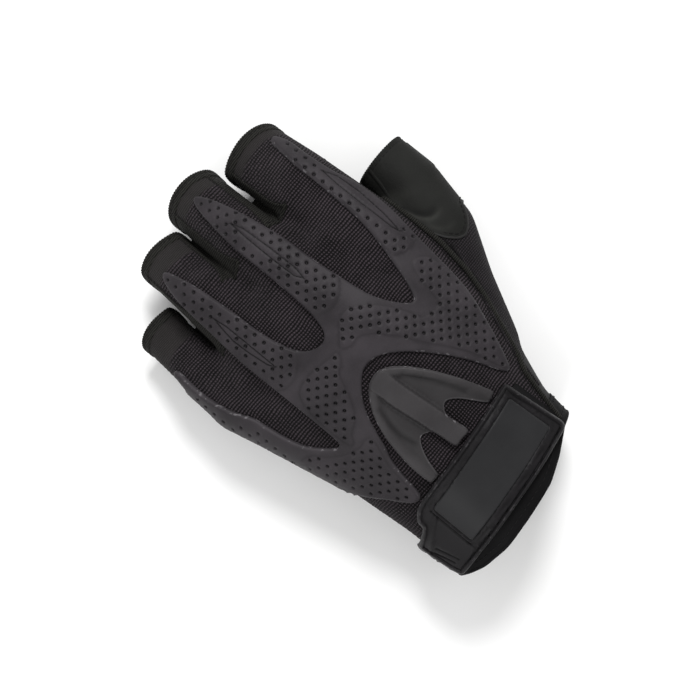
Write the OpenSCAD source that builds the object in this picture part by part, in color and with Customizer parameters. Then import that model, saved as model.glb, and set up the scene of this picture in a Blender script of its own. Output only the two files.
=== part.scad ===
// Left half-finger glove, as worn: a stretch-knit back, a synthetic-leather palm, moulded rubber
// guards on the back of the hand and a hook-and-loop wrist strap.
// Millimetres. Z is up (back of the hand), +Y points to the fingertips and +X to the thumb.
// The origin lies on the flat underside of the palm pad, below the middle finger's line.

/* [Fabric] */
// Thickness of the sewn panels
fabric = 1.2; // [1:0.1:1.6]
// Length of the turned hem at each finger opening
hem_length = 4; // [3:0.5:5]
// How far a hem stands proud of the panels
hem_rise = 0.6; // [0.4:0.1:0.8]
// Depth of the bound edge of the cuff
cuff_band_depth = 9; // [6:1:10]
// Thickness of the lining inside the cuff
lining = 0.8; // [0.5:0.1:1]

/* [Guards] */
// Thickness of the moulded knuckle guard
guard = 2; // [1.6:0.2:2.6]
// Thickness of the moulded guard above the wrist
carpal = 3; // [2.4:0.2:3.6]
// Width of the rolled seam on the thumb side
piping_width = 2.6; // [2:0.2:3.2]

/* [Strap] */
// Thickness of the loop field sewn on the cuff
loop_pile = 1; // [0.8:0.1:1.2]
// Gap between the loop field and the hook tape
strap_gap = 0.35; // [0.3:0.05:0.5]
// Thickness of the hook tape under the strap
hook_tape = 0.8; // [0.6:0.1:1]
// Thickness of the moulded strap
strap = 1.7; // [1.4:0.1:2]
// Thickness of the blank label plate on the strap
label = 0.6; // [0.4:0.1:0.8]

/* [Movement] */
// How far a finger stall straightens from rest, in degrees
straighten = 20; // [10:1:24]
// How far a finger stall curls from rest, in degrees
curl = 20; // [5:1:24]
// Clearance between parts that move on each other
play = 0.4; // [0.3:0.05:0.6]

/* [Hidden] */

knit = "#1d1c1f";
leather = "#232323";
rubber = "#3b393d";
far = 300;          // longer than the glove, for cutting blocks
ball_fn = 20;

// Each ray of the hand is a chain of balls [x, y, z, r] from the cuff to beyond the finger hem.
index_ray = [
    [5, -78, 20, 18], [8, -45, 20.5, 18.8], [20, -12, 22, 19], [24, 20, 23.8, 19.2],
    [26.5, 42, 27, 15.7], [27, 70, 25, 13], [25.2, 102, 6.3, 12.3]
];
middle_ray = [
    [-6, -78, 23, 21.5], [-4, -45, 24, 22], [2, -12, 25.5, 23], [2, 20, 27.5, 22.5],
    [0, 45, 30, 17], [-1.9, 72, 27.5, 12.2], [-2.2, 108, 5.6, 11.8]
];
ring_ray = [
    [-18, -78, 23, 21.5], [-17, -45, 23.5, 22], [-18, -12, 24.5, 22.5], [-21, 20, 26, 21.5],
    [-25.5, 42, 27.5, 16.5], [-27.6, 70, 25.5, 11.4], [-27.9, 102, 3.3, 10.8]
];
little_ray = [
    [-28.5, -78, 20.5, 18.5], [-28.5, -45, 20, 18.3], [-31, -12, 20.5, 18.7], [-38.5, 18, 21, 17.3],
    [-45.5, 36, 20.5, 14.5], [-49, 58, 19, 10], [-48.9, 84, 5.4, 9.2]
];
rays = [index_ray, middle_ray, ring_ray, little_ray];
thumb_ray = [
    [22, -20, 18.5, 15], [34, 2, 17.5, 14.5], [45, 20, 16.5, 14.8], [53, 38, 14, 11],
    [53.8, 64, 10.6, 10]
];
knuckle = 4;        // place of the knuckle ball in a ray
root_ball = 5;      // place of the ball at the finger root

// Hinge of each stall: [x, y, z] on the stall's own axis.
function along(a, b, y) = let (t = (y - a[1]) / (b[1] - a[1])) [for (i = [0:3]) a[i] + t * (b[i] - a[i])];
function stall_at(ray, y) = along(ray[len(ray) - 2], ray[len(ray) - 1], y);
index_hinge = stall_at(index_ray, 74);
middle_hinge = stall_at(middle_ray, 75);
ring_hinge = stall_at(ring_ray, 74);
little_hinge = stall_at(little_ray, 61);
thumb_hinge = stall_at(thumb_ray, 41);

// Centre of each hem's open end.
index_mouth = stall_at(index_ray, 92);
middle_mouth = stall_at(middle_ray, 99);
ring_mouth = stall_at(ring_ray, 92);
little_mouth = stall_at(little_ray, 76.5);
thumb_mouth = stall_at(thumb_ray, 53.5);

// Outlines seen from above, [x, y].
piping_line = [
    [42.2, 80], [42.2, 62], [42.4, 50], [42.9, 40], [43.2, 28], [43.2, 16], [41.4, 2], [38.4, -9],
    [34, -20], [30, -31], [26, -38], [24, -46], [20.5, -62], [18, -80]
];
cuff_edge = [[60, -58], [20, -62], [10, -66.5], [0, -69.8], [-12, -71.4], [-28, -72.8], [-38, -72], [-46, -69.5], [-70, -66]];
guard_arch = [
    [22.5, -33], [20, -30], [17, -22], [14, -15.5], [10, -8.5], [6, -2.5], [2, 2.5], [-3, 6.8], [-8, 8.5],
    [-12, 7.8], [-16, 5], [-20, 1], [-23, -4], [-25.5, -10], [-27.5, -16], [-29.5, -20], [-31, -26], [-33, -37]
];
guard_outer = [
    [-36, -37.5], [-39, -34], [-42, -29], [-46, -23], [-60, -18], [-66, 20], [-64, 42], [-59, 52],
    [-57.5, 59], [-56, 62.5]
];
guard_little_gap = [
    [-55.3, 60], [-56, 52], [-55.8, 45], [-54.5, 38], [-52.5, 32], [-50.5, 27], [-49.5, 20], [-48, 12],
    [-46, 6], [-43, 1.5], [-40, -2], [-38, -2.8], [-36.8, 0], [-36.7, 20], [-37, 40], [-36.5, 50]
];
guard_ring = [
    [-35.8, 60], [-35.3, 70], [-34.5, 78], [-33, 84.5], [-31, 87.5], [-29.5, 86], [-28, 80], [-26.8, 73],
    [-25.7, 62], [-24.6, 46], [-23.3, 38], [-21.5, 32]
];
guard_middle = [
    [-18.5, 27.5], [-14, 25.4], [-11, 26.2], [-9, 29], [-7.6, 35], [-7, 42], [-6.6, 60], [-6.8, 70], [-6.2, 79],
    [-5, 89], [-3.6, 95], [-2, 96.5], [-0.6, 95.3], [1.5, 90], [3.4, 82], [5, 73], [6.8, 61], [7.7, 48]
];
guard_index = [
    [9, 36], [10.5, 25], [13, 18], [16, 12.8], [18.5, 10.2], [20.5, 11], [22.5, 15], [25, 23], [27.5, 32],
    [29.3, 41], [30.2, 52], [30.5, 64], [30.4, 74], [31, 82], [31.8, 87.5], [33, 88.6], [34.4, 87.6],
    [35.9, 82], [36.1, 73], [37.2, 63], [39, 55], [39.8, 46], [39.6, 36], [38.3, 25], [37, 12], [35.5, 0],
    [33.4, -8], [30.5, -16], [27.5, -23.5], [25, -29]
];
guard_outline = concat(guard_arch, guard_outer, guard_little_gap, guard_ring, guard_middle, guard_index);
carpal_outline = [
    [-10, 4.2], [-13.5, 3.4], [-16.5, 1.4], [-19.3, -1.8], [-21.7, -5.5], [-23.6, -10], [-25, -14.5], [-26, -20],
    [-26.8, -26], [-27, -32], [-26.6, -37], [-23, -37], [-22.3, -34], [-21.3, -30.5], [-19.8, -27],
    [-18, -24.3], [-16.2, -23], [-14.4, -23.7], [-12.5, -25.2], [-11, -35], [-3.8, -34.8], [-4.5, -25],
    [-3, -22.6], [-1.2, -21.7], [0.6, -22.5], [3, -25.2], [5.2, -29], [7.2, -32.5], [8.4, -34.3], [12, -33.4],
    [11.8, -31.5], [10.2, -26], [8.4, -20.5], [6.6, -16], [4.6, -11.5], [2, -6.5], [-1, -2], [-4, 1.4], [-7, 3.5]
];
plate_end = -35.2;  // where the plate ends and the folding toe of the strap starts
toe_fold = plate_end - 0.3;
plate_outline = [
    [16.6, -35.4], [17.4, -36], [19.9, -60.6], [19.4, -62], [18, -62.6], [0, -64.2], [-20, -65.9],
    [plate_end, -67.4], [plate_end, -39.4], [-27, -38.6], [-12, -37.9], [4, -36.4]
];
toe_outline = [
    [toe_fold, -39.5], [-38.5, -40.4], [-42, -43], [-42, -46], [-45.2, -48], [-49.6, -50.4], [-49, -56], [-48, -64],
    [-46.8, -68.8], [toe_fold, -67.5]
];
label_outline = [[14.6, -39], [16, -57.6], [-34, -61.9], [-34, -43.4]];
saddle_outline = [
    [38, 50], [70, 50], [70, 22], [60.5, 19], [58, 15], [55, 12], [51.5, 10.5], [48.5, 12], [46, 15.5],
    [44, 20], [40, 32]
];
grip_patch_outline = [[34, 46], [36, 28], [30, 14], [10, 12], [-22, 12], [-44, 18], [-52, 30], [-46, 40], [0, 50]];
pad_outline = [
    [12, -50], [17, -42], [20, -28], [20, -12], [16, 0], [8, 6], [-4, 8], [-20, 4], [-29, -6], [-30, -24],
    [-27, -44], [-20, -52], [-6, -55], [4, -54]
];

// Side profile [y, z] of the seam between the back and the palm.
seam_profile = [[-90, 17], [-12, 17], [20, 18], [42, 20], [60, 20.5], [90, 22]];
thumb_split = 0.3; // height of the thumb stall's side seams above its axis
pad_reach = 12;     // above every part of the palm that the pad covers
thumb_seam_z = 14;
thumb_top = 32;   // level above which the hand is not parted from the thumb stall
strap_level = loop_pile + strap_gap;
strap_top = strap_level + hook_tape + strap;

// ---- Shapes of the hand ----

module ball(b, grow) translate([b[0], b[1], b[2]]) sphere(r = b[3] + grow, $fn = ball_fn);

module link(a, b, grow) hull() {
    ball(a, grow);
    ball(b, grow);
}

module block(row, grow) hull() for (ray = rays, k = [row, row + 1]) ball(ray[k], grow);

// The hand from the cuff to the finger roots, with every surface moved out by grow.
module hand_form(grow) {
    for (row = [0:knuckle - 1]) block(row, grow);
    for (ray = rays) link(ray[knuckle], ray[root_ball], grow);
    for (ray = rays) link(ray[root_ball], ray[root_ball + 1], grow);
    for (k = [0:3]) link(thumb_ray[k], thumb_ray[k + 1], grow);
}

// One stall, with the link that leads into it.
module stall_form(ray, grow) {
    last = len(ray) - 1;
    link(ray[last - 2], ray[last - 1], grow);
    link(ray[last - 1], ray[last], grow);
}

module prism(outline) translate([0, 0, -far / 2]) linear_extrude(far) polygon(outline);

// Everything above a side profile.
module above(profile) rotate([90, 0, 90]) translate([0, 0, -far / 2]) linear_extrude(far)
    polygon(concat(profile, [[profile[len(profile) - 1][0], far], [profile[0][0], far]]));

// The half of space on the fingertip side of a hinge, opened by a wedge above and below it
// so that the stall can straighten and curl.
module beyond(hinge) rotate([90, 0, 90]) translate([0, 0, -far / 2]) linear_extrude(far) polygon([
    [hinge[1], hinge[2]],
    [hinge[1] + far * tan(straighten), hinge[2] + far],
    [hinge[1] + 2 * far, hinge[2] + far],
    [hinge[1] + 2 * far, hinge[2] - far],
    [hinge[1] + far * tan(curl), hinge[2] - far]
]);

// Footprint of one digit past its hinge, for taking it out of the hand.
module digit_block(left, right, y) translate([left, y - play, -far / 2]) cube([right - left, far, far]);

module past_the_digits() {
    digit_block(11.2, 60, index_hinge[1]);
    digit_block(-14.7, 11.3, middle_hinge[1]);
    digit_block(-39.1, -14.6, ring_hinge[1]);
    digit_block(-far, -39, little_hinge[1]);
    intersection() {
        digit_block(41.5, far, thumb_hinge[1]);
        translate([0, 0, thumb_top - far]) cube(far);
    }
}

// Everything beyond the cuff's edge, moved up the wrist by depth.
module past_the_cuff(depth) translate([0, depth, 0]) prism(concat(cuff_edge, [[-70, -far], [60, -far]]));

// A layer over the hand between two levels, without the digits and the cuff's end.
module hand_layer(low, high) difference() {
    hand_form(high);
    hand_form(low);
    past_the_digits();
    past_the_cuff(0);
}

module back_side() intersection() {
    prism(concat(piping_line, [[-90, -80], [-90, 80]]));
    above(seam_profile);
}

module thumb_side() difference() {
    intersection() {
        translate([-3, 0, 0]) prism(concat(piping_line, [[40, -80], [90, -80], [90, 80]]));
        translate([0, -36, thumb_seam_z]) cube([far, far, far]);
    }
    prism([[36, 80], [48, 80], [48, 52], [42.4, 45], [36, 45]]);
}

// The strip between two fingers that the fourchettes meet in.
module crotch_zone(x, y, z, half) translate([x - half, y, z - 14]) cube([2 * half, 60, 18]);

module index_middle_crotch() crotch_zone(12.5, 55, 28, 5.5);
module middle_ring_crotch() crotch_zone(-15.3, 59, 28, 5);
module ring_little_crotch() crotch_zone(-39.2, 50, 22, 3.6);

module crotches() {
    index_middle_crotch();
    middle_ring_crotch();
    ring_little_crotch();
}

// ---- Sewn panels of the hand ----

module panel_shell() difference() {
    hand_layer(-fabric, 0);
    past_the_cuff(cuff_band_depth);
}

module back_panel() color(knit) difference() {
    intersection() {
        panel_shell();
        back_side();
    }
    crotches();
}

module thumb_gusset() color(knit) difference() {
    intersection() {
        panel_shell();
        thumb_side();
    }
    back_side();
    prism(saddle_outline);
}

module thumb_saddle() color(leather) difference() {
    intersection() {
        panel_shell();
        thumb_side();
        prism(saddle_outline);
    }
    back_side();
}

module palm_panel() color(leather) difference() {
    panel_shell();
    back_side();
    thumb_side();
    crotches();
}

module crotch() color(knit) intersection() {
    panel_shell();
    children();
}

module cuff_band() color(leather) intersection() {
    hand_layer(-fabric, hem_rise);
    past_the_cuff(cuff_band_depth);
}

module wrist_lining() color(knit) difference() {
    hand_layer(-fabric - lining, -fabric);
    translate([-far / 2, -34, -far / 2]) cube(far);
}

module loop_field() color(knit) intersection() {
    hand_layer(0, loop_pile);
    prism([[11, -39.5], [12, -54], [-12, -60], [-45, -60], [-56, -58], [-56, -50], [-40, -44]]);
    above([[-90, 22], [90, 22]]);
}

module strap_anchor() color(leather) intersection() {
    hand_layer(0, loop_pile);
    prism([[12, -39], [19.5, -38], [20.5, -50], [19.5, -52.8], [13, -55]]);
    above([[-90, 22], [90, 22]]);
}

module palm_pad() color(leather) difference() {
    linear_extrude(pad_reach) polygon(pad_outline);
    hand_form(0);
}

module palm_grip_patch() color(leather) difference() {
    intersection() {
        hand_layer(0, 1);
        prism(grip_patch_outline);
    }
    above([[-90, 14], [20, 14], [60, 18], [90, 18]]);
}

module seam_piping() color(leather) intersection() {
    hand_layer(0, 1.5);
    prism(concat(
        [for (k = [1:len(piping_line) - 2]) piping_line[k] + [piping_width / 2, 0]],
        [for (k = [len(piping_line) - 2:-1:1]) piping_line[k] - [piping_width / 2, 0]]
    ));
    above(seam_profile);
    translate([-far / 2, -37, -far / 2]) cube(far);
}

// ---- Moulded guards ----

module knuckle_guard() color(rubber) difference() {
    intersection() {
        hand_layer(0, guard);
        prism(guard_outline);
        above([[-90, 15], [0, 15], [30, 20], [90, 21]]);
    }
    prism([for (p = piping_line) p - [1.5, 0], [80, -80], [80, 80]]);
}

module carpal_guard() color(rubber) intersection() {
    hand_layer(0, carpal);
    prism(carpal_outline);
    above([[-90, 20], [90, 20]]);
}

// ---- Finger and thumb stalls ----

// Moves into a stall's own frame: origin on the axis at the root, +Y to the open end.
module in_stall(ray) {
    last = len(ray) - 1;
    drop = atan2(ray[last - 1][2] - ray[last][2], ray[last][1] - ray[last - 1][1]);
    translate([ray[last - 1][0], ray[last - 1][1], ray[last - 1][2]]) rotate([-drop, 0, 0]) children();
}

function reach(ray, mouth) = let (a = ray[len(ray) - 2]) norm([for (i = [0:2]) mouth[i] - a[i]]);

// The part of a stall between its hinge and the start of the hem.
module stall_shell(ray, hinge, mouth) intersection() {
    difference() {
        stall_form(ray, 0);
        stall_form(ray, -fabric);
    }
    beyond(hinge);
    in_stall(ray) translate([-far / 2, -far + reach(ray, mouth) - hem_length, -far / 2]) cube(far);
}

// Sides of a stall that carry a seam: outer is +1 or -1 for a finger at the edge of the hand, else 0.
module stall_top(ray, outer) in_stall(ray) {
    r = ray[root_ball][3];
    translate([-far / 2, -far / 2, 0.6 * r]) cube(far);
    if (outer != 0) translate([outer > 0 ? 0 : -far, -far / 2, -0.2 * r]) cube(far);
}

module stall_bottom(ray, outer) in_stall(ray) {
    r = ray[root_ball][3];
    translate([-far / 2, -far / 2, -far - 0.5 * r]) cube(far);
    if (outer != 0) translate([outer > 0 ? 0 : -far, -far / 2, -far - 0.2 * r]) cube(far);
}

module stall_back(ray, hinge, mouth, outer) color(knit) intersection() {
    stall_shell(ray, hinge, mouth);
    stall_top(ray, outer);
}

module stall_palm(ray, hinge, mouth, outer) color(leather) intersection() {
    stall_shell(ray, hinge, mouth);
    stall_bottom(ray, outer);
}

// side is +1 for the strip on the thumb's side of the finger and -1 for the other one.
module stall_side(ray, hinge, mouth, outer, side) color(knit) difference() {
    stall_shell(ray, hinge, mouth);
    stall_top(ray, outer);
    stall_bottom(ray, outer);
    in_stall(ray) translate([side > 0 ? -far : 0, -far / 2, -far / 2]) cube(far);
}

module stall_hem(ray, mouth) color(knit) intersection() {
    difference() {
        stall_form(ray, hem_rise);
        stall_form(ray, -fabric);
    }
    in_stall(ray) translate([-far / 2, reach(ray, mouth) - hem_length, -far / 2]) cube([far, hem_length, far]);
}

module stall_guard(ray, hinge, mouth) color(rubber) intersection() {
    difference() {
        stall_form(ray, guard);
        stall_form(ray, 0);
    }
    prism(guard_outline);
    beyond(hinge);
    in_stall(ray) translate([-far / 2, -far + reach(ray, mouth) - hem_length, 4]) cube(far);
}

module thumb_half(top) color(leather) intersection() {
    stall_shell(thumb_ray, thumb_hinge, thumb_mouth);
    in_stall(thumb_ray) translate([-far / 2, -far / 2, thumb_split - (top ? 0 : far)]) cube(far);
}

// ---- Wrist strap ----

module strap_layer(low, high, outline) intersection() {
    difference() {
        hand_form(high);
        hand_form(low);
    }
    prism(outline);
    above([[-90, 18], [90, 18]]);
}

module strap_plate() color(rubber) strap_layer(strap_level + hook_tape, strap_top, plate_outline);
module label_plate() color(rubber) strap_layer(strap_top, strap_top + label, label_outline);
module strap_hook_tape() color(knit) strap_layer(strap_level, strap_level + hook_tape,
    [[10, -38.6], [11, -60.5], [-34.6, -64.5], [-34.6, -42]]);
module strap_toe() color(rubber) strap_layer(strap_level + hook_tape, strap_top, toe_outline);
module toe_hook_tape() color(knit) strap_layer(strap_level, strap_level + hook_tape,
    [[-35.8, -43], [-41, -48], [-48, -52], [-47, -66], [-35.8, -64.5]]);

back_panel();
palm_panel();
thumb_gusset();
thumb_saddle();
crotch() index_middle_crotch();  // crotch_index_middle
crotch() middle_ring_crotch();  // crotch_middle_ring
crotch() ring_little_crotch();  // crotch_ring_little
knuckle_guard();
carpal_guard();
seam_piping();
cuff_band();
wrist_lining();
loop_field();
strap_anchor();
palm_pad();
palm_grip_patch();
stall_back(index_ray, index_hinge, index_mouth, 1);  // index_back
stall_palm(index_ray, index_hinge, index_mouth, 1);  // index_palm
stall_side(index_ray, index_hinge, index_mouth, 1, -1);  // index_fourchette
stall_hem(index_ray, index_mouth);  // index_hem
stall_guard(index_ray, index_hinge, index_mouth);  // index_guard
stall_back(middle_ray, middle_hinge, middle_mouth, 0);  // middle_back
stall_palm(middle_ray, middle_hinge, middle_mouth, 0);  // middle_palm
stall_side(middle_ray, middle_hinge, middle_mouth, 0, 1);  // middle_fourchette_thumb_side
stall_side(middle_ray, middle_hinge, middle_mouth, 0, -1);  // middle_fourchette_little_side
stall_hem(middle_ray, middle_mouth);  // middle_hem
stall_guard(middle_ray, middle_hinge, middle_mouth);  // middle_guard
stall_back(ring_ray, ring_hinge, ring_mouth, 0);  // ring_back
stall_palm(ring_ray, ring_hinge, ring_mouth, 0);  // ring_palm
stall_side(ring_ray, ring_hinge, ring_mouth, 0, 1);  // ring_fourchette_thumb_side
stall_side(ring_ray, ring_hinge, ring_mouth, 0, -1);  // ring_fourchette_little_side
stall_hem(ring_ray, ring_mouth);  // ring_hem
stall_guard(ring_ray, ring_hinge, ring_mouth);  // ring_guard
stall_back(little_ray, little_hinge, little_mouth, -1);  // little_back
stall_palm(little_ray, little_hinge, little_mouth, -1);  // little_palm
stall_side(little_ray, little_hinge, little_mouth, -1, 1);  // little_fourchette
stall_hem(little_ray, little_mouth);  // little_hem
thumb_half(true);  // thumb_back
thumb_half(false);  // thumb_palm
stall_hem(thumb_ray, thumb_mouth);  // thumb_hem
strap_plate();
label_plate();
strap_hook_tape();
strap_toe();
toe_hook_tape();
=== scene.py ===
"""Half-finger glove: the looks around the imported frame.

Lengths inside this script are millimetres, and turn into metres where a mesh is made.
The hand's own shape is one distance field: the panels are cut out of its zero surface, and the guards,
the strap, the hems and the stitches are laid on it at their own height above it.
"""
import math

import bpy
import numpy as np
from mathutils import Matrix, Vector, geometry


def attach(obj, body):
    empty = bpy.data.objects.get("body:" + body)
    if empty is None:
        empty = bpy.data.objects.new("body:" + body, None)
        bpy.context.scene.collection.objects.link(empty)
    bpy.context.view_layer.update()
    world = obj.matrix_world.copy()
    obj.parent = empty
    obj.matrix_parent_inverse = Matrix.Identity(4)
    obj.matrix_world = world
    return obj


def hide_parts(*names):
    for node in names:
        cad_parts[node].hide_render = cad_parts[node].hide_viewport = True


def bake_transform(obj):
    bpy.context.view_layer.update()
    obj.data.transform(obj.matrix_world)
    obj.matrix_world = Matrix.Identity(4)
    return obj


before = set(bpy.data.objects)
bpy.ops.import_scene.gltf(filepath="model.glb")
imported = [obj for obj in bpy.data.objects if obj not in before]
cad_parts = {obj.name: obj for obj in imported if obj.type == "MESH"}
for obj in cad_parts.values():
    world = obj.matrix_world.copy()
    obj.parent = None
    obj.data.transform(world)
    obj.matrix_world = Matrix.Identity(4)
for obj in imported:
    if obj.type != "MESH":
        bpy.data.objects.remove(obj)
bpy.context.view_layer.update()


MM = 0.001
FABRIC = 1.2          # thickness of the sewn panels

# ---------------------------------------------------------------- the hand's shape
# Each ray of the hand is a chain of balls [x, y, z, r] from the cuff to beyond the finger hem.
INDEX = np.array([
    [5, -78, 20, 18], [8, -45, 20.5, 18.8], [20, -12, 22, 19], [24, 20, 23.8, 19.2],
    [26.5, 42, 27, 15.7], [27, 70, 25, 13], [25.2, 102, 6.3, 12.3]])
MIDDLE = np.array([
    [-6, -78, 23, 21.5], [-4, -45, 24, 22], [2, -12, 25.5, 23], [2, 20, 27.5, 22.5],
    [0, 45, 30, 17], [-1.9, 72, 27.5, 12.2], [-2.2, 108, 5.6, 11.8]])
RING = np.array([
    [-18, -78, 23, 21.5], [-17, -45, 23.5, 22], [-18, -12, 24.5, 22.5], [-21, 20, 26, 21.5],
    [-25.5, 42, 27.5, 16.5], [-27.6, 70, 25.5, 11.4], [-27.9, 102, 3.3, 10.8]])
LITTLE = np.array([
    [-28.5, -78, 20.5, 18.5], [-28.5, -45, 20, 18.3], [-31, -12, 20.5, 18.7], [-38.5, 18, 21, 17.3],
    [-45.5, 36, 20.5, 14.5], [-49, 58, 19, 10], [-48.9, 84, 5.4, 9.2]])
THUMB = np.array([
    [22, -20, 18.5, 15], [34, 2, 17.5, 14.5], [45, 20, 16.5, 14.8], [53, 38, 14, 11],
    [53.8, 64, 10.6, 10]])
RAYS = [INDEX, MIDDLE, RING, LITTLE]
KNUCKLE = 4           # place of the knuckle ball in a ray
BETWEEN = 3           # rays added between two neighbours, so that the palm is closed

# A slit between two fingers: x and y where it starts, x further on, half width there.
SLITS = {
    "index_middle": (11.4, 68.0, 11.1, 0.75),
    "middle_ring": (-15.8, 67.5, -15.3, 0.5),
    "ring_little": (-40.2, 54.5, -38.7, 0.6),
}
SLIT_RUN = 30.0       # the second x of a slit belongs to this much more y
# Fuller sides of two stalls: ray, step sideways and how much slimmer the added chain is.
FULLER = [(INDEX, -2.7, 0.9), (RING, 2.4, 0.7)]
THUMB_FULLER = np.array([1.9, -1.1, 0, -0.4])

CELL = 0.9
GRID_LOW = np.array([-67.0, -84.0, -7.0])
GRID_HIGH = np.array([73.0, 114.0, 60.0])
FAR = 7.0             # distances are cut off here
BLUR = 2.3            # how far the chains of balls are smoothed into each other
FILL = 0.35           # makes good what the smoothing takes off
THUMB_SLIT = (44.0, 0.8)   # y where the slit beside the thumb starts, half its width


def slit_x(name, y):
    x0, y0, x1, _ = SLITS[name]
    return x0 + (y - y0) / SLIT_RUN * (x1 - x0)


def axis_points(k):
    return np.arange(GRID_LOW[k], GRID_HIGH[k], CELL)


AXES = [axis_points(k) for k in range(3)]


def carve_link(field, a, b, ease):
    """Unites the field with the tapered capsule between two balls, its radii multiplied by ease."""
    reach = max(a[3], b[3]) + FAR
    low = np.minimum(a[:3], b[:3]) - reach
    high = np.maximum(a[:3], b[:3]) + reach
    cut = [slice(max(0, int((low[k] - GRID_LOW[k]) / CELL)), int((high[k] - GRID_LOW[k]) / CELL) + 1)
           for k in range(3)]
    x, y, z = np.meshgrid(*[AXES[k][cut[k]] for k in range(3)], indexing="ij", sparse=True)
    span = b[:3] - a[:3]
    t = np.clip(((x - a[0]) * span[0] + (y - a[1]) * span[1] + (z - a[2]) * span[2]) / (span @ span), 0, 1)
    dx, dy, dz = x - a[0] - t * span[0], y - a[1] - t * span[1], z - a[2] - t * span[2]
    distance = np.sqrt(dx * dx + dy * dy + dz * dz) - ease * (a[3] + t * (b[3] - a[3]))
    part = field[tuple(cut)]
    np.minimum(part, distance, out=part)


def carve_chain(field, balls, last=1.0):
    """The same along a chain of balls. The last link's radius is multiplied by last."""
    for k in range(len(balls) - 1):
        carve_link(field, balls[k], balls[k + 1], last if k == len(balls) - 2 else 1.0)


def blur(field):
    reach = int(math.ceil(2.6 * BLUR / CELL))
    weights = np.exp(-0.5 * (np.arange(-reach, reach + 1) * CELL / BLUR) ** 2)
    weights /= weights.sum()
    for axis in range(3):
        pad = [(reach, reach) if k == axis else (0, 0) for k in range(3)]
        wide = np.pad(field, pad, mode="edge")
        n = field.shape[axis]
        field = sum(w * np.take(wide, range(i, i + n), axis=axis) for i, w in enumerate(weights))
    return field


def smooth_max(a, b, k):
    h = np.clip(1 - np.abs(a - b) / k, 0, None)
    return np.maximum(a, b) + h * h * k / 4


def build_field():
    field = np.full([len(a) for a in AXES], FAR)
    for left, right in zip(RAYS[:-1], RAYS[1:]):
        for step in range(BETWEEN + 2):
            t = step / (BETWEEN + 1)
            chain = left[:KNUCKLE + 1] * (1 - t) + right[:KNUCKLE + 1] * t
            carve_chain(field, chain, 1 - 0.05 * math.sin(math.pi * t))
    fuller = [ray[KNUCKLE + 1:] + np.array([step, 0, 0, -slimmer]) for ray, step, slimmer in FULLER]
    for chain in [ray[KNUCKLE:] for ray in RAYS] + fuller + [THUMB, THUMB + THUMB_FULLER]:
        carve_chain(field, chain)
    field = blur(field) - FILL
    x, y, z = np.meshgrid(*AXES, indexing="ij", sparse=True)
    for name, (_, start, _, half) in SLITS.items():
        opening = half * np.clip((y - start) / 2.5, -4, 1)
        blade = np.abs(x - slit_x(name, y)) - opening
        field = smooth_max(field, -blade + 0 * z, 2.4)
    near_index, near_thumb = np.full(field.shape, FAR), np.full(field.shape, FAR)
    carve_chain(near_index, INDEX[3:])
    carve_chain(near_thumb, THUMB[2:])
    start, half = THUMB_SLIT
    opening = half * np.clip((y - start) / 3.0, -4, 1)
    gap = np.where(near_thumb < FAR - 0.01, np.abs(near_index - near_thumb) / 2, FAR)
    return smooth_max(field, opening - gap, 2.0)


FIELD = build_field()


def measure(points):
    """Distance of points from the hand's surface, below zero inside."""
    at = (np.asarray(points, float) - GRID_LOW) / CELL
    at = np.clip(at, 0, np.array(FIELD.shape) - 1.001)
    i = at.astype(int)
    f = at - i
    out = 0
    for dx in (0, 1):
        for dy in (0, 1):
            for dz in (0, 1):
                weight = (f[:, 0] if dx else 1 - f[:, 0]) * (f[:, 1] if dy else 1 - f[:, 1])
                weight = weight * (f[:, 2] if dz else 1 - f[:, 2])
                out = out + weight * FIELD[i[:, 0] + dx, i[:, 1] + dy, i[:, 2] + dz]
    return out


def slope(points, h=0.8):
    points = np.asarray(points, float)
    out = np.empty_like(points)
    for k in range(3):
        step = np.zeros(3)
        step[k] = h
        out[:, k] = (measure(points + step) - measure(points - step)) / (2 * h)
    return out


def unit(vectors):
    return vectors / np.maximum(np.linalg.norm(vectors, axis=1), 1e-9)[:, None]


def normals_at(points):
    return unit(slope(points))


def settle(points, rounds=3):
    """Moves points onto the hand's surface."""
    points = np.array(points, float)
    for _ in range(rounds):
        g = slope(points)
        size = np.maximum((g * g).sum(1), 0.05)
        points -= np.clip(measure(points) / size, -3, 3)[:, None] * g
    return points


INSIDE = FIELD < 0
EDGE_FIELD = FIELD.min(axis=2)


def outer_edge():
    """x and z of the hand's edge on the little finger's side, for each y of the grid."""
    first = np.argmax(EDGE_FIELD < 0, axis=0)
    rows = np.arange(len(AXES[1]))
    before, after = EDGE_FIELD[np.maximum(first - 1, 0), rows], EDGE_FIELD[first, rows]
    x = AXES[0][first] - CELL * after / np.minimum(after - before, -1e-6)
    z = AXES[2][FIELD[first, rows].argmin(axis=1)]
    smooth = np.ones(9) / 9
    return x, np.convolve(np.pad(z, 4, mode="edge"), smooth, mode="valid")


EDGE_X, EDGE_Z = outer_edge()


def column_height(xy, from_below):
    """Height at which a vertical line first meets the hand. Beyond the edge it runs down the side."""
    order = INSIDE if from_below else INSIDE[:, :, ::-1]
    first = order.argmax(axis=2)
    height = AXES[2][first] if from_below else AXES[2][len(AXES[2]) - 1 - first]
    height = np.where(INSIDE.any(axis=2), height, np.nan)
    at = np.round((xy - GRID_LOW[:2]) / CELL).astype(int)
    at = np.clip(at, 0, np.array(height.shape) - 1)
    z = height[at[:, 0], at[:, 1]]
    edge_x, edge_z = np.interp(xy[:, 1], AXES[1], EDGE_X), np.interp(xy[:, 1], AXES[1], EDGE_Z)
    beyond = xy[:, 0] < edge_x + 0.3
    z = np.where(beyond, edge_z - 1.0 * (edge_x + 0.3 - xy[:, 0]), z)
    return np.where(np.isnan(z), 20.0, z), np.where(beyond, edge_x + 0.3, xy[:, 0])


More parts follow.
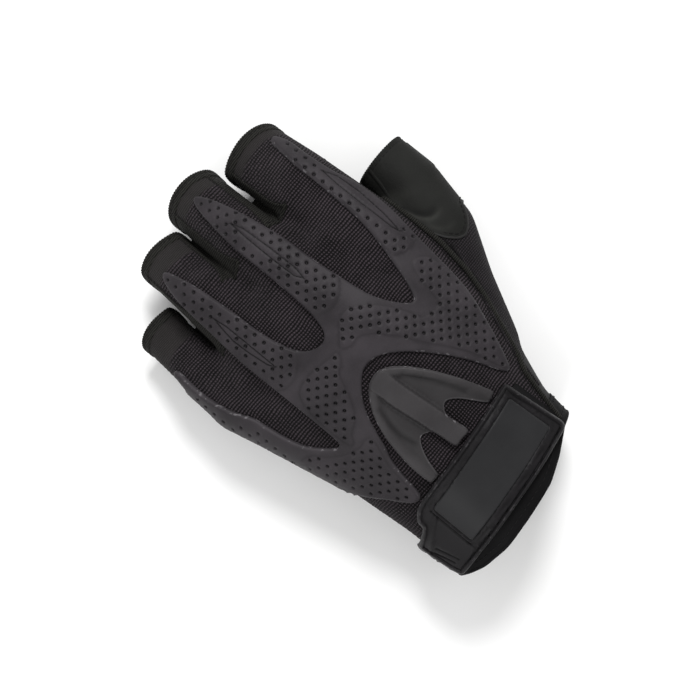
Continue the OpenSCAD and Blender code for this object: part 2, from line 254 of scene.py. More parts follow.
def lay(xy, level=0.0, from_below=False):
    """Points above (or below) xy, on the hand's surface and level away from it."""
    xy = np.asarray(xy, float)
    z, x = column_height(xy, from_below)
    base = np.column_stack([x, xy[:, 1], z])
    for _ in range(6):
        g = slope(base)
        flat = np.abs(g[:, 2]) > 0.35
        d = measure(base)
        base[:, 2] -= np.where(flat, np.clip(d / np.where(flat, g[:, 2], 1), -2, 2), 0)
        base -= np.where(flat, 0, np.clip(d / np.maximum((g * g).sum(1), 0.05), -2, 2))[:, None] * g
    base = settle(base, 2)
    n = normals_at(base)
    return base + n * np.broadcast_to(level, len(xy))[:, None], n


def surface_nets(region_low, region_high):
    """The zero surface of the field inside a box, as points and triangles."""
    a = np.maximum(((np.array(region_low) - GRID_LOW) / CELL).astype(int), 0)
    b = np.minimum(((np.array(region_high) - GRID_LOW) / CELL).astype(int) + 2, FIELD.shape)
    f = FIELD[a[0]:b[0], a[1]:b[1], a[2]:b[2]]
    inside = f < 0
    shape = np.array(f.shape) - 1

    def corner(array, d):
        return array[d[0]:d[0] + shape[0], d[1]:d[1] + shape[1], d[2]:d[2] + shape[2]]

    corners = [(i, j, k) for i in (0, 1) for j in (0, 1) for k in (0, 1)]
    steps = np.eye(3, dtype=int)
    count = sum(corner(inside, d).astype(int) for d in corners)
    mixed = (count > 0) & (count < 8)
    cells = np.argwhere(mixed)
    number = np.full(mixed.shape, -1)
    number[mixed] = np.arange(len(cells))
    total, hits = np.zeros((len(cells), 3)), np.zeros(len(cells))
    for axis in range(3):
        step = steps[axis]
        for d in corners:
            if d[axis]:
                continue
            p = corner(f, d)[mixed]
            q = corner(f, tuple(np.array(d) + step))[mixed]
            cross = (p < 0) != (q < 0)
            t = np.where(cross, p / np.where(cross, p - q, 1), 0)
            where = np.array(d, float)[None, :] + t[:, None] * step
            total += where * cross[:, None]
            hits += cross
    points = GRID_LOW + (a + cells + total / hits[:, None]) * CELL
    quads = []
    for axis in range(3):
        u, v = [k for k in range(3) if k != axis]
        if axis == 1:
            u, v = v, u
        first = inside[tuple(slice(0, n - (k == axis)) for k, n in enumerate(inside.shape))]
        second = inside[tuple(slice(1 if k == axis else 0, None) for k in range(3))]
        at = np.argwhere(first != second)
        ok = (at[:, u] > 0) & (at[:, v] > 0) & (at[:, u] < shape[u]) & (at[:, v] < shape[v])
        at = at[ok & (at[:, axis] < shape[axis])]
        ring = [at - steps[u] - steps[v], at - steps[v], at, at - steps[u]]
        quad = np.column_stack([number[tuple(r.T)] for r in ring])
        flip = ~inside[tuple(at.T)]
        quad[flip] = quad[flip][:, ::-1]
        quads.append(quad)
    quads = np.concatenate(quads)
    quads = quads[(quads >= 0).all(1)]
    points = settle(points)
    d0, d1 = (np.linalg.norm(points[quads[:, k]] - points[quads[:, k + 2]], axis=1) for k in (0, 1))
    short = (d0 < d1)[:, None]
    one = np.where(short, quads[:, [0, 1, 2]], quads[:, [0, 1, 3]])
    two = np.where(short, quads[:, [0, 2, 3]], quads[:, [1, 2, 3]])
    return points, np.concatenate([one, two])


def drop_unused(points, tris):
    used = np.unique(tris)
    number = np.full(len(points), -1)
    number[used] = np.arange(len(used))
    return points[used], number[tris]


def edges_of(tris):
    return np.concatenate([tris[:, [0, 1]], tris[:, [1, 2]], tris[:, [2, 0]]])


def keep_where(surface, field):
    """Cuts a triangle surface along field(points) = 0 and keeps the side above zero."""
    points, tris = surface
    f = np.array(field(points), float)
    f[np.abs(f) < 0.12] = 0.0
    tri_f = f[tris]
    whole = (tri_f >= 0).all(1) & (tri_f > 0).any(1)
    part = (tri_f > 0).any(1) & (tri_f < 0).any(1)
    cut = tris[part]
    edges = np.sort(edges_of(cut), axis=1)
    edges = np.unique(edges[(f[edges[:, 0]] > 0) & (f[edges[:, 1]] < 0)
                            | (f[edges[:, 0]] < 0) & (f[edges[:, 1]] > 0)], axis=0)
    t = f[edges[:, 0]] / (f[edges[:, 0]] - f[edges[:, 1]])
    fresh = points[edges[:, 0]] * (1 - t)[:, None] + points[edges[:, 1]] * t[:, None]
    at = {(int(i), int(j)): len(points) + n for n, (i, j) in enumerate(edges)}
    made = []
    for tri in cut:
        loop = []
        for k in range(3):
            i, j = int(tri[k]), int(tri[(k + 1) % 3])
            if f[i] >= 0:
                loop.append(i)
            key = (min(i, j), max(i, j))
            if key in at:
                loop.append(at[key])
        for k in range(1, len(loop) - 1):
            made.append((loop[0], loop[k], loop[k + 1]))
    tris = np.concatenate([tris[whole], np.array(made, int).reshape(-1, 3)])
    return drop_unused(np.concatenate([points, fresh]), tris)


def boundary_edges(tris):
    """Directed edges that only one triangle has."""
    edges = edges_of(tris)
    key = np.sort(edges, axis=1)
    _, index, count = np.unique(key, axis=0, return_index=True, return_counts=True)
    return edges[index[count == 1]]


# ---------------------------------------------------------------- making meshes
def add_object(name, data):
    obj = bpy.data.objects.new(name, data)
    bpy.context.scene.collection.objects.link(obj)
    return obj


def add_attribute(mesh, name, values, kind="FLOAT_VECTOR", key="vector"):
    attribute = mesh.attributes.new(name, kind, "POINT")
    attribute.data.foreach_set(key, np.asarray(values, np.float32).ravel())


def make_piece(name, points, faces, material, corner_normals=None, facing=None, rim=None, sharp=40):
    """A mesh object in metres. Its attributes, in millimetres, are what the material's pattern follows."""
    mesh = bpy.data.meshes.new(name)
    mesh.from_pydata((np.asarray(points) * MM).tolist(), [], [tuple(int(i) for i in f) for f in faces])
    mesh.update()
    add_attribute(mesh, "rest", points)
    if facing is not None:
        add_attribute(mesh, "facing", facing)
    if rim is not None:
        add_attribute(mesh, "rim", rim, "FLOAT", "value")
    mesh.polygons.foreach_set("use_smooth", [True] * len(mesh.polygons))
    if corner_normals is not None:
        mesh.normals_split_custom_set(corner_normals.tolist())
    else:
        mesh.set_sharp_from_angle(angle=math.radians(sharp))
    mesh.materials.append(material)
    return add_object(name, mesh)


def face_normals(points, tris):
    a, b, c = (points[tris[:, k]] for k in range(3))
    return np.cross(b - a, c - a)


def wall_quads(tris, count):
    """Faces between the edge of one side and the edge of the other, whose numbers are count higher."""
    edges = boundary_edges(tris)
    return np.column_stack([edges[:, 1], edges[:, 0], edges[:, 0] + count, edges[:, 1] + count])


def two_sided(name, both, n, tris, walls, wall_normals, rim, material):
    """A closed piece: an upper side, its underside and the walls between them."""
    flipped = tris[:, ::-1]
    faces = tris.tolist() + (flipped + len(n)).tolist() + walls.tolist()
    corners = np.concatenate([n[tris].reshape(-1, 3), -n[flipped].reshape(-1, 3), wall_normals])
    return make_piece(name, both, faces, material, corners, np.tile(n, (2, 1)), rim)


def shell(name, surface, material, thickness=FABRIC, rise=0.0, rim=None):
    """A cloth panel: the surface, raised by rise, and its inner side."""
    points, tris = surface
    rim = np.zeros(len(points)) if rim is None else rim(points)
    rise = rise(points)[:, None] if callable(rise) else rise
    n = normals_at(points)
    both = np.concatenate([points + n * rise, points - n * thickness])
    quads = wall_quads(tris, len(points))
    walls = np.concatenate([quads[:, [0, 1, 2]], quads[:, [0, 2, 3]]])
    wall_normals = np.repeat(unit(face_normals(both, walls)), 3, axis=0)
    return two_sided(name, both, n, tris, walls, wall_normals, np.tile(rim, 2), material)


def sweep(ring_points, closed=False):
    """Faces of a tube whose rings are already placed: rings x sides x 3."""
    rings, sides = ring_points.shape[:2]
    faces = []
    for i in range(rings if closed else rings - 1):
        j = (i + 1) % rings
        for k in range(sides):
            m = (k + 1) % sides
            faces.append((i * sides + k, i * sides + m, j * sides + m, j * sides + k))
    if not closed:
        faces.append(tuple(range(sides))[::-1])
        faces.append(tuple((rings - 1) * sides + k for k in range(sides)))
    return ring_points.reshape(-1, 3), faces


def resample(path, spacing, closed=False):
    path = np.asarray(path, float)
    if closed:
        path = np.concatenate([path, path[:1]])
    length = np.concatenate([[0], np.cumsum(np.linalg.norm(np.diff(path, axis=0), axis=1))])
    count = max(3, int(round(length[-1] / spacing)))
    at = np.linspace(0, length[-1], count + 1)
    if closed:
        at = at[:-1]
    return np.column_stack([np.interp(at, length, path[:, k]) for k in range(path.shape[1])])


def spline(points, spacing, closed=False):
    """A smooth curve through points (Catmull-Rom), evenly spaced."""
    p = np.asarray(points, float)
    n = len(p)
    out = []
    for i in range(n if closed else n - 1):
        quad = [p[(i + k) % n] if closed else p[min(max(i + k, 0), n - 1)] for k in (-1, 0, 1, 2)]
        for t in np.linspace(0, 1, 12, endpoint=False):
            out.append(0.5 * (2 * quad[1] + (quad[2] - quad[0]) * t
                              + (2 * quad[0] - 5 * quad[1] + 4 * quad[2] - quad[3]) * t ** 2
                              + (3 * quad[1] - quad[0] - 3 * quad[2] + quad[3]) * t ** 3))
    if not closed:
        out.append(p[-1])
    return resample(out, spacing, closed)


def turns(count):
    """Angles all round a circle."""
    return np.linspace(0, 2 * math.pi, count, endpoint=False)


def tangents(path, closed=False):
    if closed:
        return unit(np.roll(path, -1, axis=0) - np.roll(path, 1, axis=0))
    return unit(np.gradient(path, axis=0))


def left_of(line, closed=False):
    """Unit vectors to the left of a plan line, which point inward on an outline."""
    along = tangents(line, closed)
    return np.column_stack([-along[:, 1], along[:, 0]])


def side_of(path, closed=False):
    """Vectors along the hand's surface, across a path on it."""
    return np.cross(normals_at(path), tangents(path, closed))


def bead(path, width, height, level=0.0, closed=False, sides=8, twist=None):
    """A rounded bead of the given width and height, laid on the hand along a path on its surface."""
    n, side = normals_at(path), unit(side_of(path, closed))
    angle = turns(sides)
    swell = np.ones(len(path)) if twist is None else twist
    rings = (path[:, None] + n[:, None] * level
             + side[:, None] * (np.cos(angle) * width / 2)[None, :, None] * swell[:, None, None]
             + n[:, None] * (np.sin(angle) * height / 2)[None, :, None] * swell[:, None, None])
    return sweep(rings[:, ::-1], closed)


def join_parts(parts):
    points, faces, start = [], [], 0
    for p, f in parts:
        points.append(p)
        faces += [tuple(i + start for i in face) for face in f]
        start += len(p)
    return np.concatenate(points), faces


def stitches(path, pitch, length=1.7, thick=0.42, level=0.12, closed=False):
    """Thread along a path on the surface: one short bead for each stitch."""
    line = resample(path, pitch, closed)
    direction = tangents(line, closed)
    parts = []
    for centre, along in zip(line, direction):
        short = np.array([centre + along * length * t for t in (-0.5, -0.3, 0.0, 0.3, 0.5)])
        slim = np.array([0.35, 0.9, 1.0, 0.9, 0.35])
        parts.append(bead(short, thick, thick, level, sides=6, twist=slim))
    return join_parts(parts)


def chains(edges):
    """Orders directed boundary edges into loops and open lines of point numbers."""
    follow = {}
    for a, b in edges:
        follow.setdefault(int(a), []).append(int(b))
    starts = set(follow) - {int(b) for _, b in edges}
    out = []
    while follow:
        a = next(iter(starts & set(follow)), None)
        a = next(iter(follow)) if a is None else a
        line = [a]
        while line[-1] in follow:
            here = line[-1]
            line.append(follow[here].pop())
            if not follow[here]:
                del follow[here]
        out.append(line)
    return out


def cut_lines(surface, field, tolerance=0.35, shortest=6.0):
    """The lines along which a cut surface ends at field = 0."""
    points, tris = surface
    edges = boundary_edges(tris)
    near = np.abs(field(points)) < tolerance
    edges = edges[near[edges[:, 0]] & near[edges[:, 1]]]
    lines = []
    for chain in chains(edges):
        line = points[chain]
        if np.linalg.norm(np.diff(line, axis=0), axis=1).sum() >= shortest:
            lines.append((line, chain[0] == chain[-1]))
    return lines


# ---------------------------------------------------------------- materials
class Value:
    """An output of a node. Sums and products with values or numbers become math nodes."""

    def __init__(self, graph, socket):
        self.graph, self.socket = graph, socket

    def math(self, kind, *others):
        return self.graph.node("Math", dict(enumerate((self, *others))), operation=kind)

    def __add__(self, other):
        return self.math("ADD", other)

    def __sub__(self, other):
        return self.math("SUBTRACT", other)

    def __rsub__(self, other):
        return self.graph.node("Math", {0: other, 1: self}, operation="SUBTRACT")

    def __mul__(self, other):
        return self.math("MULTIPLY", other)


class Graph:
    """The nodes of one material. Its patterns follow the attributes that make_piece gives a mesh."""

    def __init__(self, name, colour, roughness, specular, sheen=0.0):
        self.material = bpy.data.materials.new(name)
        self.material.use_nodes = True
        self.tree = self.material.node_tree
        self.shader = self.tree.nodes["Principled BSDF"]
        self.feed(self.shader, {"Base Color": colour, "Roughness": roughness, "Specular IOR Level": specular,
                                "Sheen Weight": sheen, "Sheen Roughness": 0.5})
        self.rest = self.attribute("rest")

    def feed(self, node, inputs):
        for key, value in inputs.items():
            socket = node.inputs[key]
            if isinstance(value, Value):
                self.tree.links.new(value.socket, socket)
            elif isinstance(value, tuple):
                socket.default_value = (*value, 1)[:len(socket.default_value)]
            else:
                socket.default_value = value

    def node(self, kind, inputs, out=0, **settings):
        node = self.tree.nodes.new("ShaderNode" + kind)
        for key, value in settings.items():
            setattr(node, key, value)
        self.feed(node, inputs)
        return Value(self, node.outputs[out])

    def attribute(self, name, out="Vector"):
        return self.node("Attribute", {}, out, attribute_name=name)

    def split(self, vector):
        return [self.node("SeparateXYZ", {0: vector}, k) for k in range(3)]

    def stretch(self, scale):
        return self.node("VectorMath", {0: self.rest, 1: scale}, operation="MULTIPLY")

    def noise(self, scale, detail=2.0, vector=None, distortion=0.0):
        inputs = {"Vector": vector or self.rest, "Scale": scale, "Detail": detail, "Distortion": distortion}
        return self.node("TexNoise", inputs, "Fac")

    def cells(self, scale):
        return self.node("TexVoronoi", {"Vector": self.rest, "Scale": scale}, "Distance")

    def wave(self, value, pitch):
        """0 to 1 and back once every pitch."""
        return (value * (2 * math.pi / pitch)).math("SINE") * 0.5 + 0.5

    def ramp(self, value, stops):
        node = self.tree.nodes.new("ShaderNodeValToRGB")
        self.feed(node, {0: value})
        elements = node.color_ramp.elements
        while len(elements) < len(stops):
            elements.new(0.5)
        for element, (place, colour) in zip(elements, stops):
            element.position = place
            element.color = (*colour, 1)
        return Value(self, node.outputs[0])

    def mix(self, factor, a, b):
        return self.node("Mix", {0: factor, 6: a, 7: b}, 2, data_type="RGBA")

    def bump(self, height, depth_mm, strength, **below):
        inputs = {"Height": height, "Distance": depth_mm * MM, "Strength": strength, **below}
        return self.node("Bump", inputs)

    def finish(self, colour, **inputs):
        self.feed(self.shader, {"Base Color": colour, **inputs})
        return self.material


def shade(colour, factor):
    return tuple(factor * c for c in colour)


def knit_material(name, dark, light, rib=1.15, column=1.05, depth=0.5, tip=(0.02, 0.02, 0.018)):
    """Waffle knit: ribs across the hand, crossed by columns. rim turns it into smooth binding."""
    n = Graph(name, dark, 0.9, 0.12, 0.02)
    x, y, z = n.split(n.rest)
    facing = n.split(n.attribute("facing"))[2]
    smooth = n.attribute("rim", "Fac")
    waver = n.noise(0.09) * 2.2 + n.noise(0.6) * 0.35
    weight = facing.math("ABSOLUTE").math("POWER", 2.0)
    swing = n.noise(0.4) * 0.7
    columns = n.wave(x + swing, column) * weight + n.wave(z + swing, column) * (1.0 - weight)
    share = (n.noise(0.045, 1.0) * 1.4 - 0.05).math("MAXIMUM", 0.5).math("MINIMUM", 0.9)
    ribs = n.wave(y + waver, rib).math("POWER", 0.8) * ((columns - 1.0) * share + 1.0)
    fine = n.wave(y + waver, rib * 0.62) * 0.35 + 0.35
    height = ribs * (1.0 - smooth) + fine * smooth
    fuzz = n.noise(2.6, 4.0)
    # The colour follows the ribs' height: painted light on their tops and painted shade between them; fuzz
    # and patches vary it at random.
    tone = fuzz * 0.34 + height * 0.8 - 0.15 + n.noise(0.16, 3.0) * 0.3
    middle = tuple(0.36 * (a + b) for a, b in zip(dark, light))
    colour = n.ramp(tone, [(0.24, dark), (0.56, middle), (0.9, light)])
    return n.finish(n.mix(smooth * 0.6, colour, tip),
                    Normal=n.bump(height, depth, 0.9, Normal=n.bump(fuzz, 0.16, 0.6)))


def binding_material(name, dark, light):
    """Stretch binding: fine ribs along the thread, with a slight shine."""
    n = Graph(name, dark, 0.8, 0.1, 0.01)
    ribs = n.wave(n.split(n.rest)[1] + n.noise(0.5), 0.8)
    height = n.noise(5.0, 3.0, n.stretch((0.35, 1.0, 0.35))) * 0.35 + ribs * 0.65
    # The colour follows the same height: painted light on the ribs, painted shade between them.
    return n.finish(n.ramp(height, [(0.15, dark), (0.9, light)]), Normal=n.bump(height, 0.22, 0.8))


def leather_material(name, dark, light, roughness, grain, depth, specular):
    """Synthetic leather: a fine pebble grain, soft creases and rubbed patches. rim is a fold's height, which
    the colour follows: painted highlight on the folds' crests, painted shade in their hollows.
    """
    n = Graph(name, dark, roughness, specular)
    crease = n.noise(0.22, 5.0, n.stretch((1.0, 0.55, 1.0)), 0.8)
    height = n.cells(grain) * 0.7 + n.noise(4.0, 4.0) * 0.3
    # rim adds painted highlight on the folds' crests and painted shade in their hollows.
    tone = n.noise(0.06, 3.0) * 0.7 + crease * 0.35 + n.attribute("rim", "Fac") * 0.55
    stops = [(0.05, shade(dark, 0.5)), (0.3, dark), (0.75, light), (1.0, shade(light, 1.6))]
    return n.finish(n.ramp(tone, stops), Normal=n.bump(height, depth, 0.7, Normal=n.bump(crease, 0.5, 0.35)),
                    Roughness=crease * 0.25 + (roughness - 0.12))


def rubber_material(name, dark, light, edge, roughness, depth, specular):
    """Moulded rubber: a fine matt skin. Where rim is above 0 it turns pale: trimmed edges, partly chipped
    wear and partly painted highlight, and painted highlights on raised lips and ridges. Where rim is below 0
    it turns dark: painted shade in pits, grooves, creases and valleys.
    """
    n = Graph(name, dark, roughness, specular)
    skin = n.noise(2.2, 4.0)
    cloud = n.noise(0.07, 4.0)
    rim = n.attribute("rim", "Fac")
    chips = n.noise(0.55, 4.0).math("GREATER_THAN", 0.6) * 0.75 + 0.12
    colour = n.ramp(skin * 0.25 + cloud, [(0.45, dark), (0.85, light)])
    # Pale where rim is above 0: chipped wear and painted highlight on edges, lips and ridges.
    colour = n.mix(rim.math("MAXIMUM", 0.0) * chips, colour, edge)
    # Dark where rim is below 0: painted shade in pits, grooves, creases and valleys.
    colour = n.mix((rim * -1.0).math("MAXIMUM", 0.0), colour, shade(dark, 0.1))
    return n.finish(colour, Normal=n.bump(skin, depth, 0.7), Roughness=cloud * 0.2 + (roughness - 0.1))


def pile_material(name, dark, light, scale):
    """Hook tape, loop pile or brushed lining: small tufts with fuzz."""
    n = Graph(name, dark, 0.95, 0.1, 0.15)
    height = n.cells(scale) + n.noise(4.0, 4.0) * 0.6
    return n.finish(n.ramp(height, [(0.2, dark), (0.9, light)]), Normal=n.bump(height, 0.5, 0.9))


def thread_material(name, colour):
    n = Graph(name, colour, 0.75, 0.12, 0.01)
    x, y, z = n.split(n.rest)
    twist = n.wave(x + y + z, 0.35)
    tone = n.ramp(twist, [(0.0, shade(colour, 0.5)), (1.0, colour)])
    return n.finish(tone, Normal=n.bump(twist, 0.08, 0.8))


KNIT = knit_material("waffle_knit", (0.0007, 0.0005, 0.0006), (0.0455, 0.0365, 0.0425),
                     tip=(0.0125, 0.0125, 0.0105))
WOVEN = knit_material("woven_gusset", (0.0026, 0.0022, 0.0025), (0.0275, 0.0232, 0.0265), 0.85, 0.95, 0.25)
BINDING = binding_material("stretch_binding", (0.0012, 0.0011, 0.001), (0.021, 0.0205, 0.0178))
# name: dark tone, light tone, roughness, size of the grain, its depth, shine
LEATHERS = {
    "thumb_leather": ((0.0062, 0.0063, 0.0058), (0.0125, 0.0127, 0.0115), 0.7, 1.9, 0.1, 0.1),
    "palm_leather": ((0.007, 0.0068, 0.0071), (0.0165, 0.016, 0.0167), 0.65, 1.4, 0.14, 0.15),
    "grip_leather": ((0.0045, 0.0043, 0.0045), (0.0105, 0.0102, 0.0105), 0.62, 0.7, 0.4, 0.15),
    # A lighter copy of the thumb leather for the raised roll: painted highlight.
    "thumb_roll": ((0.010, 0.0098, 0.0096), (0.02, 0.0195, 0.0192), 0.6, 1.9, 0.1, 0.15),
    "cuff_binding": ((0.0022, 0.0021, 0.0023), (0.0052, 0.005, 0.0054), 0.65, 1.9, 0.08, 0.07),
}
THUMB_LEATHER, PALM_LEATHER, GRIP_LEATHER, ROLL_LEATHER, CUFF_LEATHER = [
    leather_material(name, *values) for name, values in LEATHERS.items()]
# name: dark tone, light tone, pale tone of edges and painted highlights, roughness, depth of the skin, shine
RUBBERS = {
    "guard_rubber": (
        (0.0155, 0.0133, 0.0153), (0.031, 0.0268, 0.0305), (0.15, 0.142, 0.15), 0.58, 0.06, 0.15),
    "carpal_rubber": (
        (0.024, 0.0222, 0.0234), (0.036, 0.0336, 0.0352), (0.21, 0.2, 0.21), 0.52, 0.06, 0.15),
    "strap_rubber": (
        (0.0052, 0.0047, 0.0053), (0.0092, 0.0083, 0.0094), (0.085, 0.08, 0.085), 0.5, 0.06, 0.13),
    "label_plate": (
        (0.0115, 0.0115, 0.0123), (0.0155, 0.0155, 0.0164), (0.06, 0.06, 0.06), 0.48, 0.03, 0.15),
}
GUARD_RUBBER, CARPAL_RUBBER, STRAP_RUBBER, LABEL = [
    rubber_material(name, *values) for name, values in RUBBERS.items()]
PILE = pile_material("loop_pile", (0.004, 0.004, 0.004), (0.02, 0.02, 0.021), 1.4)
HOOKS = pile_material("hook_tape", (0.005, 0.005, 0.005), (0.03, 0.03, 0.03), 2.2)
LINING = pile_material("lining", (0.006, 0.006, 0.006), (0.020, 0.020, 0.020), 1.0)
THREAD = thread_material("thread", (0.0085, 0.008, 0.0082))


# ---------------------------------------------------------------- lines that part the glove
PIPING_LINE = [
    [42.2, 80], [42.2, 62], [42.4, 50], [42.9, 40], [43.2, 28], [43.2, 16], [41.4, 2], [38.4, -9],
    [34, -20], [30, -31], [26, -38], [24, -46], [20.5, -62], [18, -80]]
CUFF_EDGE = [
    [60, -58], [20, -62], [10, -66.5], [0, -69.8], [-12, -71.4], [-28, -72.8], [-38, -72], [-46, -69.5],
    [-70, -66]]
SEAM_PROFILE = [[-90, 17], [-12, 17], [20, 18], [42, 20], [60, 21.5], [90, 22.5]]
SADDLE = [
    [38, 50], [70, 50], [70, 22], [60.5, 19], [58, 15], [55, 12], [51.5, 10.5], [48.5, 12], [46, 15.5],
    [44, 20], [40, 32]]
CUFF_BAND = 9.0       # depth of the bound edge of the cuff
FINGER_SPLIT = 68.5   # y at which the three long stalls part from the hand
LITTLE_SPLIT = 56.0
THUMB_SPLIT = 36.0
GUSSET_Z = 14.0       # the palm leather starts below this level on the thumb's side
GUSSET_Y = -36.0


def across(line, at, of):
    """Coordinate `of` of a line as a function of coordinate `at`."""
    ordered = np.array(sorted(line, key=lambda p: p[at]), float)
    return lambda v: np.interp(v, ordered[:, at], ordered[:, of])


piping_x = across(PIPING_LINE, 1, 0)
cuff_y = across(CUFF_EDGE, 0, 1)
seam_z = across(SEAM_PROFILE, 0, 1)


def to_segment(points, a, b):
    """Distance of points from the segment from a to b, and how far along it (0 to 1) they lie."""
    span = b - a
    t = np.clip(((points - a) @ span) / max(span @ span, 1e-12), 0, 1)
    return np.linalg.norm(points - a - t[:, None] * span, axis=1), t


def outline_distance(xy, outline, closed=True):
    """Distance of plan points to a line, and whether they lie inside it."""
    a = np.asarray(outline, float)
    b = np.roll(a, -1, axis=0)
    if not closed:
        a, b = a[:-1], b[:-1]
    best = np.full(len(xy), 1e9)
    inside = np.zeros(len(xy), bool)
    for p, q in zip(a, b):
        span = q - p
        best = np.minimum(best, to_segment(xy, p, q)[0])
        if abs(span[1]) > 1e-12:
            crosses = (p[1] > xy[:, 1]) != (q[1] > xy[:, 1])
            inside ^= crosses & (xy[:, 0] < p[0] + (xy[:, 1] - p[1]) * span[0] / span[1])
    return best, inside


def depth_inside(xy, outline):
    """Distance of plan points from an outline: above zero inside it, below zero outside."""
    distance, inside = outline_distance(xy, outline)
    return np.where(inside, distance, -distance)


def depth_in(outline):
    """A field over points: above zero inside the outline seen from above."""
    return lambda p: depth_inside(p[:, :2], outline)


def chain_distance(points, chain):
    best = np.full(len(points), 1e9)
    for a, b in zip(chain[:-1], chain[1:]):
        reach, t = to_segment(points, a[:3], b[:3])
        best = np.minimum(best, reach - a[3] - t * (b[3] - a[3]))
    return best


class Stall:
    """One finger or thumb stall and its own frame: along, up and side, from the ball at its root."""

    def __init__(self, name, ray, hinge_y, mouth_y, outer=0):
        a, b = ray[-2], ray[-1]
        drop = math.atan2(a[2] - b[2], b[1] - a[1])
        self.name, self.outer, self.origin, self.r = name, outer, a[:3], a[3]
        self.along = np.array([0, math.cos(drop), -math.sin(drop)])
        self.up = np.array([0, math.sin(drop), math.cos(drop)])
        self.lean = (b[0] - a[0]) / np.linalg.norm(b[1:3] - a[1:3])
        self.reach = np.linalg.norm((b - a)[:3]) * (mouth_y - a[1]) / (b[1] - a[1])
        self.hinge = a[:3] + (b - a)[:3] * (hinge_y - a[1]) / (b[1] - a[1])

    def local(self, p):
        q = p - self.origin
        a = q @ self.along
        return a, q @ self.up, q[:, 0] - self.lean * a

    def place(self, a, b, c):
        a, b, c = np.broadcast_arrays(a, b, c)
        side = np.array([1.0, 0, 0])
        return (self.origin + a[..., None] * self.along + b[..., None] * self.up
                + (c + self.lean * a)[..., None] * side)

    def above_top_seam(self, p):
        """Above zero on the part that the back panel covers."""
        _, b, c = self.local(p)
        return b - np.where(c * self.outer > 0, -0.2 * self.r, 0.6 * self.r)

    def below_low_seam(self, p):
        _, b, c = self.local(p)
        return np.where(c * self.outer > 0, -0.2 * self.r, -0.5 * self.r) - b


STALLS = {
    "index": Stall("index", INDEX, 74, 92, 1),
    "middle": Stall("middle", MIDDLE, 75, 99),
    "ring": Stall("ring", RING, 74, 92),
    "little": Stall("little", LITTLE, 61, 76.5, -1),
    "thumb": Stall("thumb", THUMB, 41, 53.5),
}
BENDS = {"index": (69, 79), "middle": (70, 80), "ring": (69, 79), "little": (57, 65), "thumb": (37, 45)}
# First body, second body, and the start and the end of the span between the one and the other.
BLENDS = {
    name + "_bend": ("hand", name, (stall.hinge[0], BENDS[name][0], stall.hinge[2]),
                     (stall.hinge[0], BENDS[name][1], stall.hinge[2]))
    for name, stall in STALLS.items()}
BLENDS["toe_bend"] = ("strap", "strap_end", (-33.0, -53, 42), (-39.0, -53, 42))
BLENDS["root_bend"] = ("hand", "strap", (20.8, -50, 37), (17.0, -50, 37))
HEM = 4.0             # length of the turned hem
HEM_RISE = 0.4        # how far it stands above the stall
# Section of the hem: how far beyond the stall's end, and how far above its surface.
HEM_PROFILE = [
    (-HEM - 0.5, -0.15), (-HEM - 0.3, 0.3), (-HEM, HEM_RISE), (-HEM + 0.8, HEM_RISE + 0.05),
    (-1.9, HEM_RISE), (-1.5, HEM_RISE - 0.12), (-1.1, HEM_RISE + 0.12), (-0.5, HEM_RISE + 0.2),
    (-0.1, HEM_RISE), (0.05, 0.2), (0.0, -0.7), (-0.3, -1.35), (-1.2, -1.6), (-HEM, -1.6),
    (-HEM - 1.6, -1.3)]


def digit_of(x, y):
    """Number of the ray whose stall a plan point belongs to: 0 for the index finger."""
    return sum((x < slit_x(name, y)).astype(int) for name in SLITS)


def hand_field(p):
    """Above zero on the hand, below zero on the stalls."""
    x, y = p[:, 0], p[:, 1]
    border = slit_x("ring_little", y)
    little = np.maximum(LITTLE_SPLIT - y, x - border)
    longer = np.maximum(FINGER_SPLIT - y, border - x)
    thumb_side = (chain_distance(p, THUMB) - chain_distance(p, INDEX)) / 2
    thumb = np.maximum(THUMB_SPLIT - y, thumb_side)
    return np.minimum(np.minimum(little, longer), thumb)


def fourchette_field(p):
    """Above zero on the strips between the fingers, on the hand's side of the split."""
    x, y = p[:, 0], p[:, 1]
    names = ["index", "middle", "ring", "little"]
    digit = digit_of(x, y)
    out = np.full(len(p), -9.0)
    for k, name in enumerate(names):
        stall = STALLS[name]
        _, b, c = stall.local(p)
        start = np.where((name == "little") | ((name == "ring") & (c < 0)), LITTLE_SPLIT, FINGER_SPLIT)
        limit = 0.6 * stall.r - 2.4 * np.maximum(start - y, 0)
        value = np.where(c * stall.outer > 0, -9.0, limit - b)
        out = np.where(digit == k, value, out)
    return np.where(y > 45, out, -9.0)


def back_field(p):
    """Above zero on the back of the hand and on the strips between the fingers."""
    return np.minimum(piping_x(p[:, 1]) - p[:, 0], p[:, 2] - seam_z(p[:, 1]))


def gusset_field(p):
    side = p[:, 0] - piping_x(p[:, 1])
    return np.minimum(np.minimum(side, p[:, 2] - GUSSET_Z), p[:, 1] - GUSSET_Y)


def cuff_field(depth):
    """Above zero on the hand's side of a line that lies depth inside the cuff's edge."""
    return lambda p: p[:, 1] - depth - cuff_y(p[:, 0])


def flip(field):
    return lambda p: -field(p)


def part(surface, *fields):
    for field in fields:
        surface = keep_where(surface, field)
    return surface


# ---------------------------------------------------------------- sewn panels
SKIN = part(surface_nets(GRID_LOW, GRID_HIGH), cuff_field(0.0))
HAND = part(SKIN, hand_field)
DIGITS = part(SKIN, flip(hand_field))


def digit_surface(name):
    points, tris = DIGITS
    centre = points[tris].mean(axis=1)
    thumb = chain_distance(centre, THUMB) < chain_distance(centre, INDEX)
    order = np.where(thumb, 4, digit_of(centre[:, 0], centre[:, 1]))
    stall = STALLS[name]
    mine = drop_unused(points, tris[order == list(STALLS).index(name)])
    return part(mine, lambda p: stall.reach - HEM + 0.3 - stall.local(p)[0])


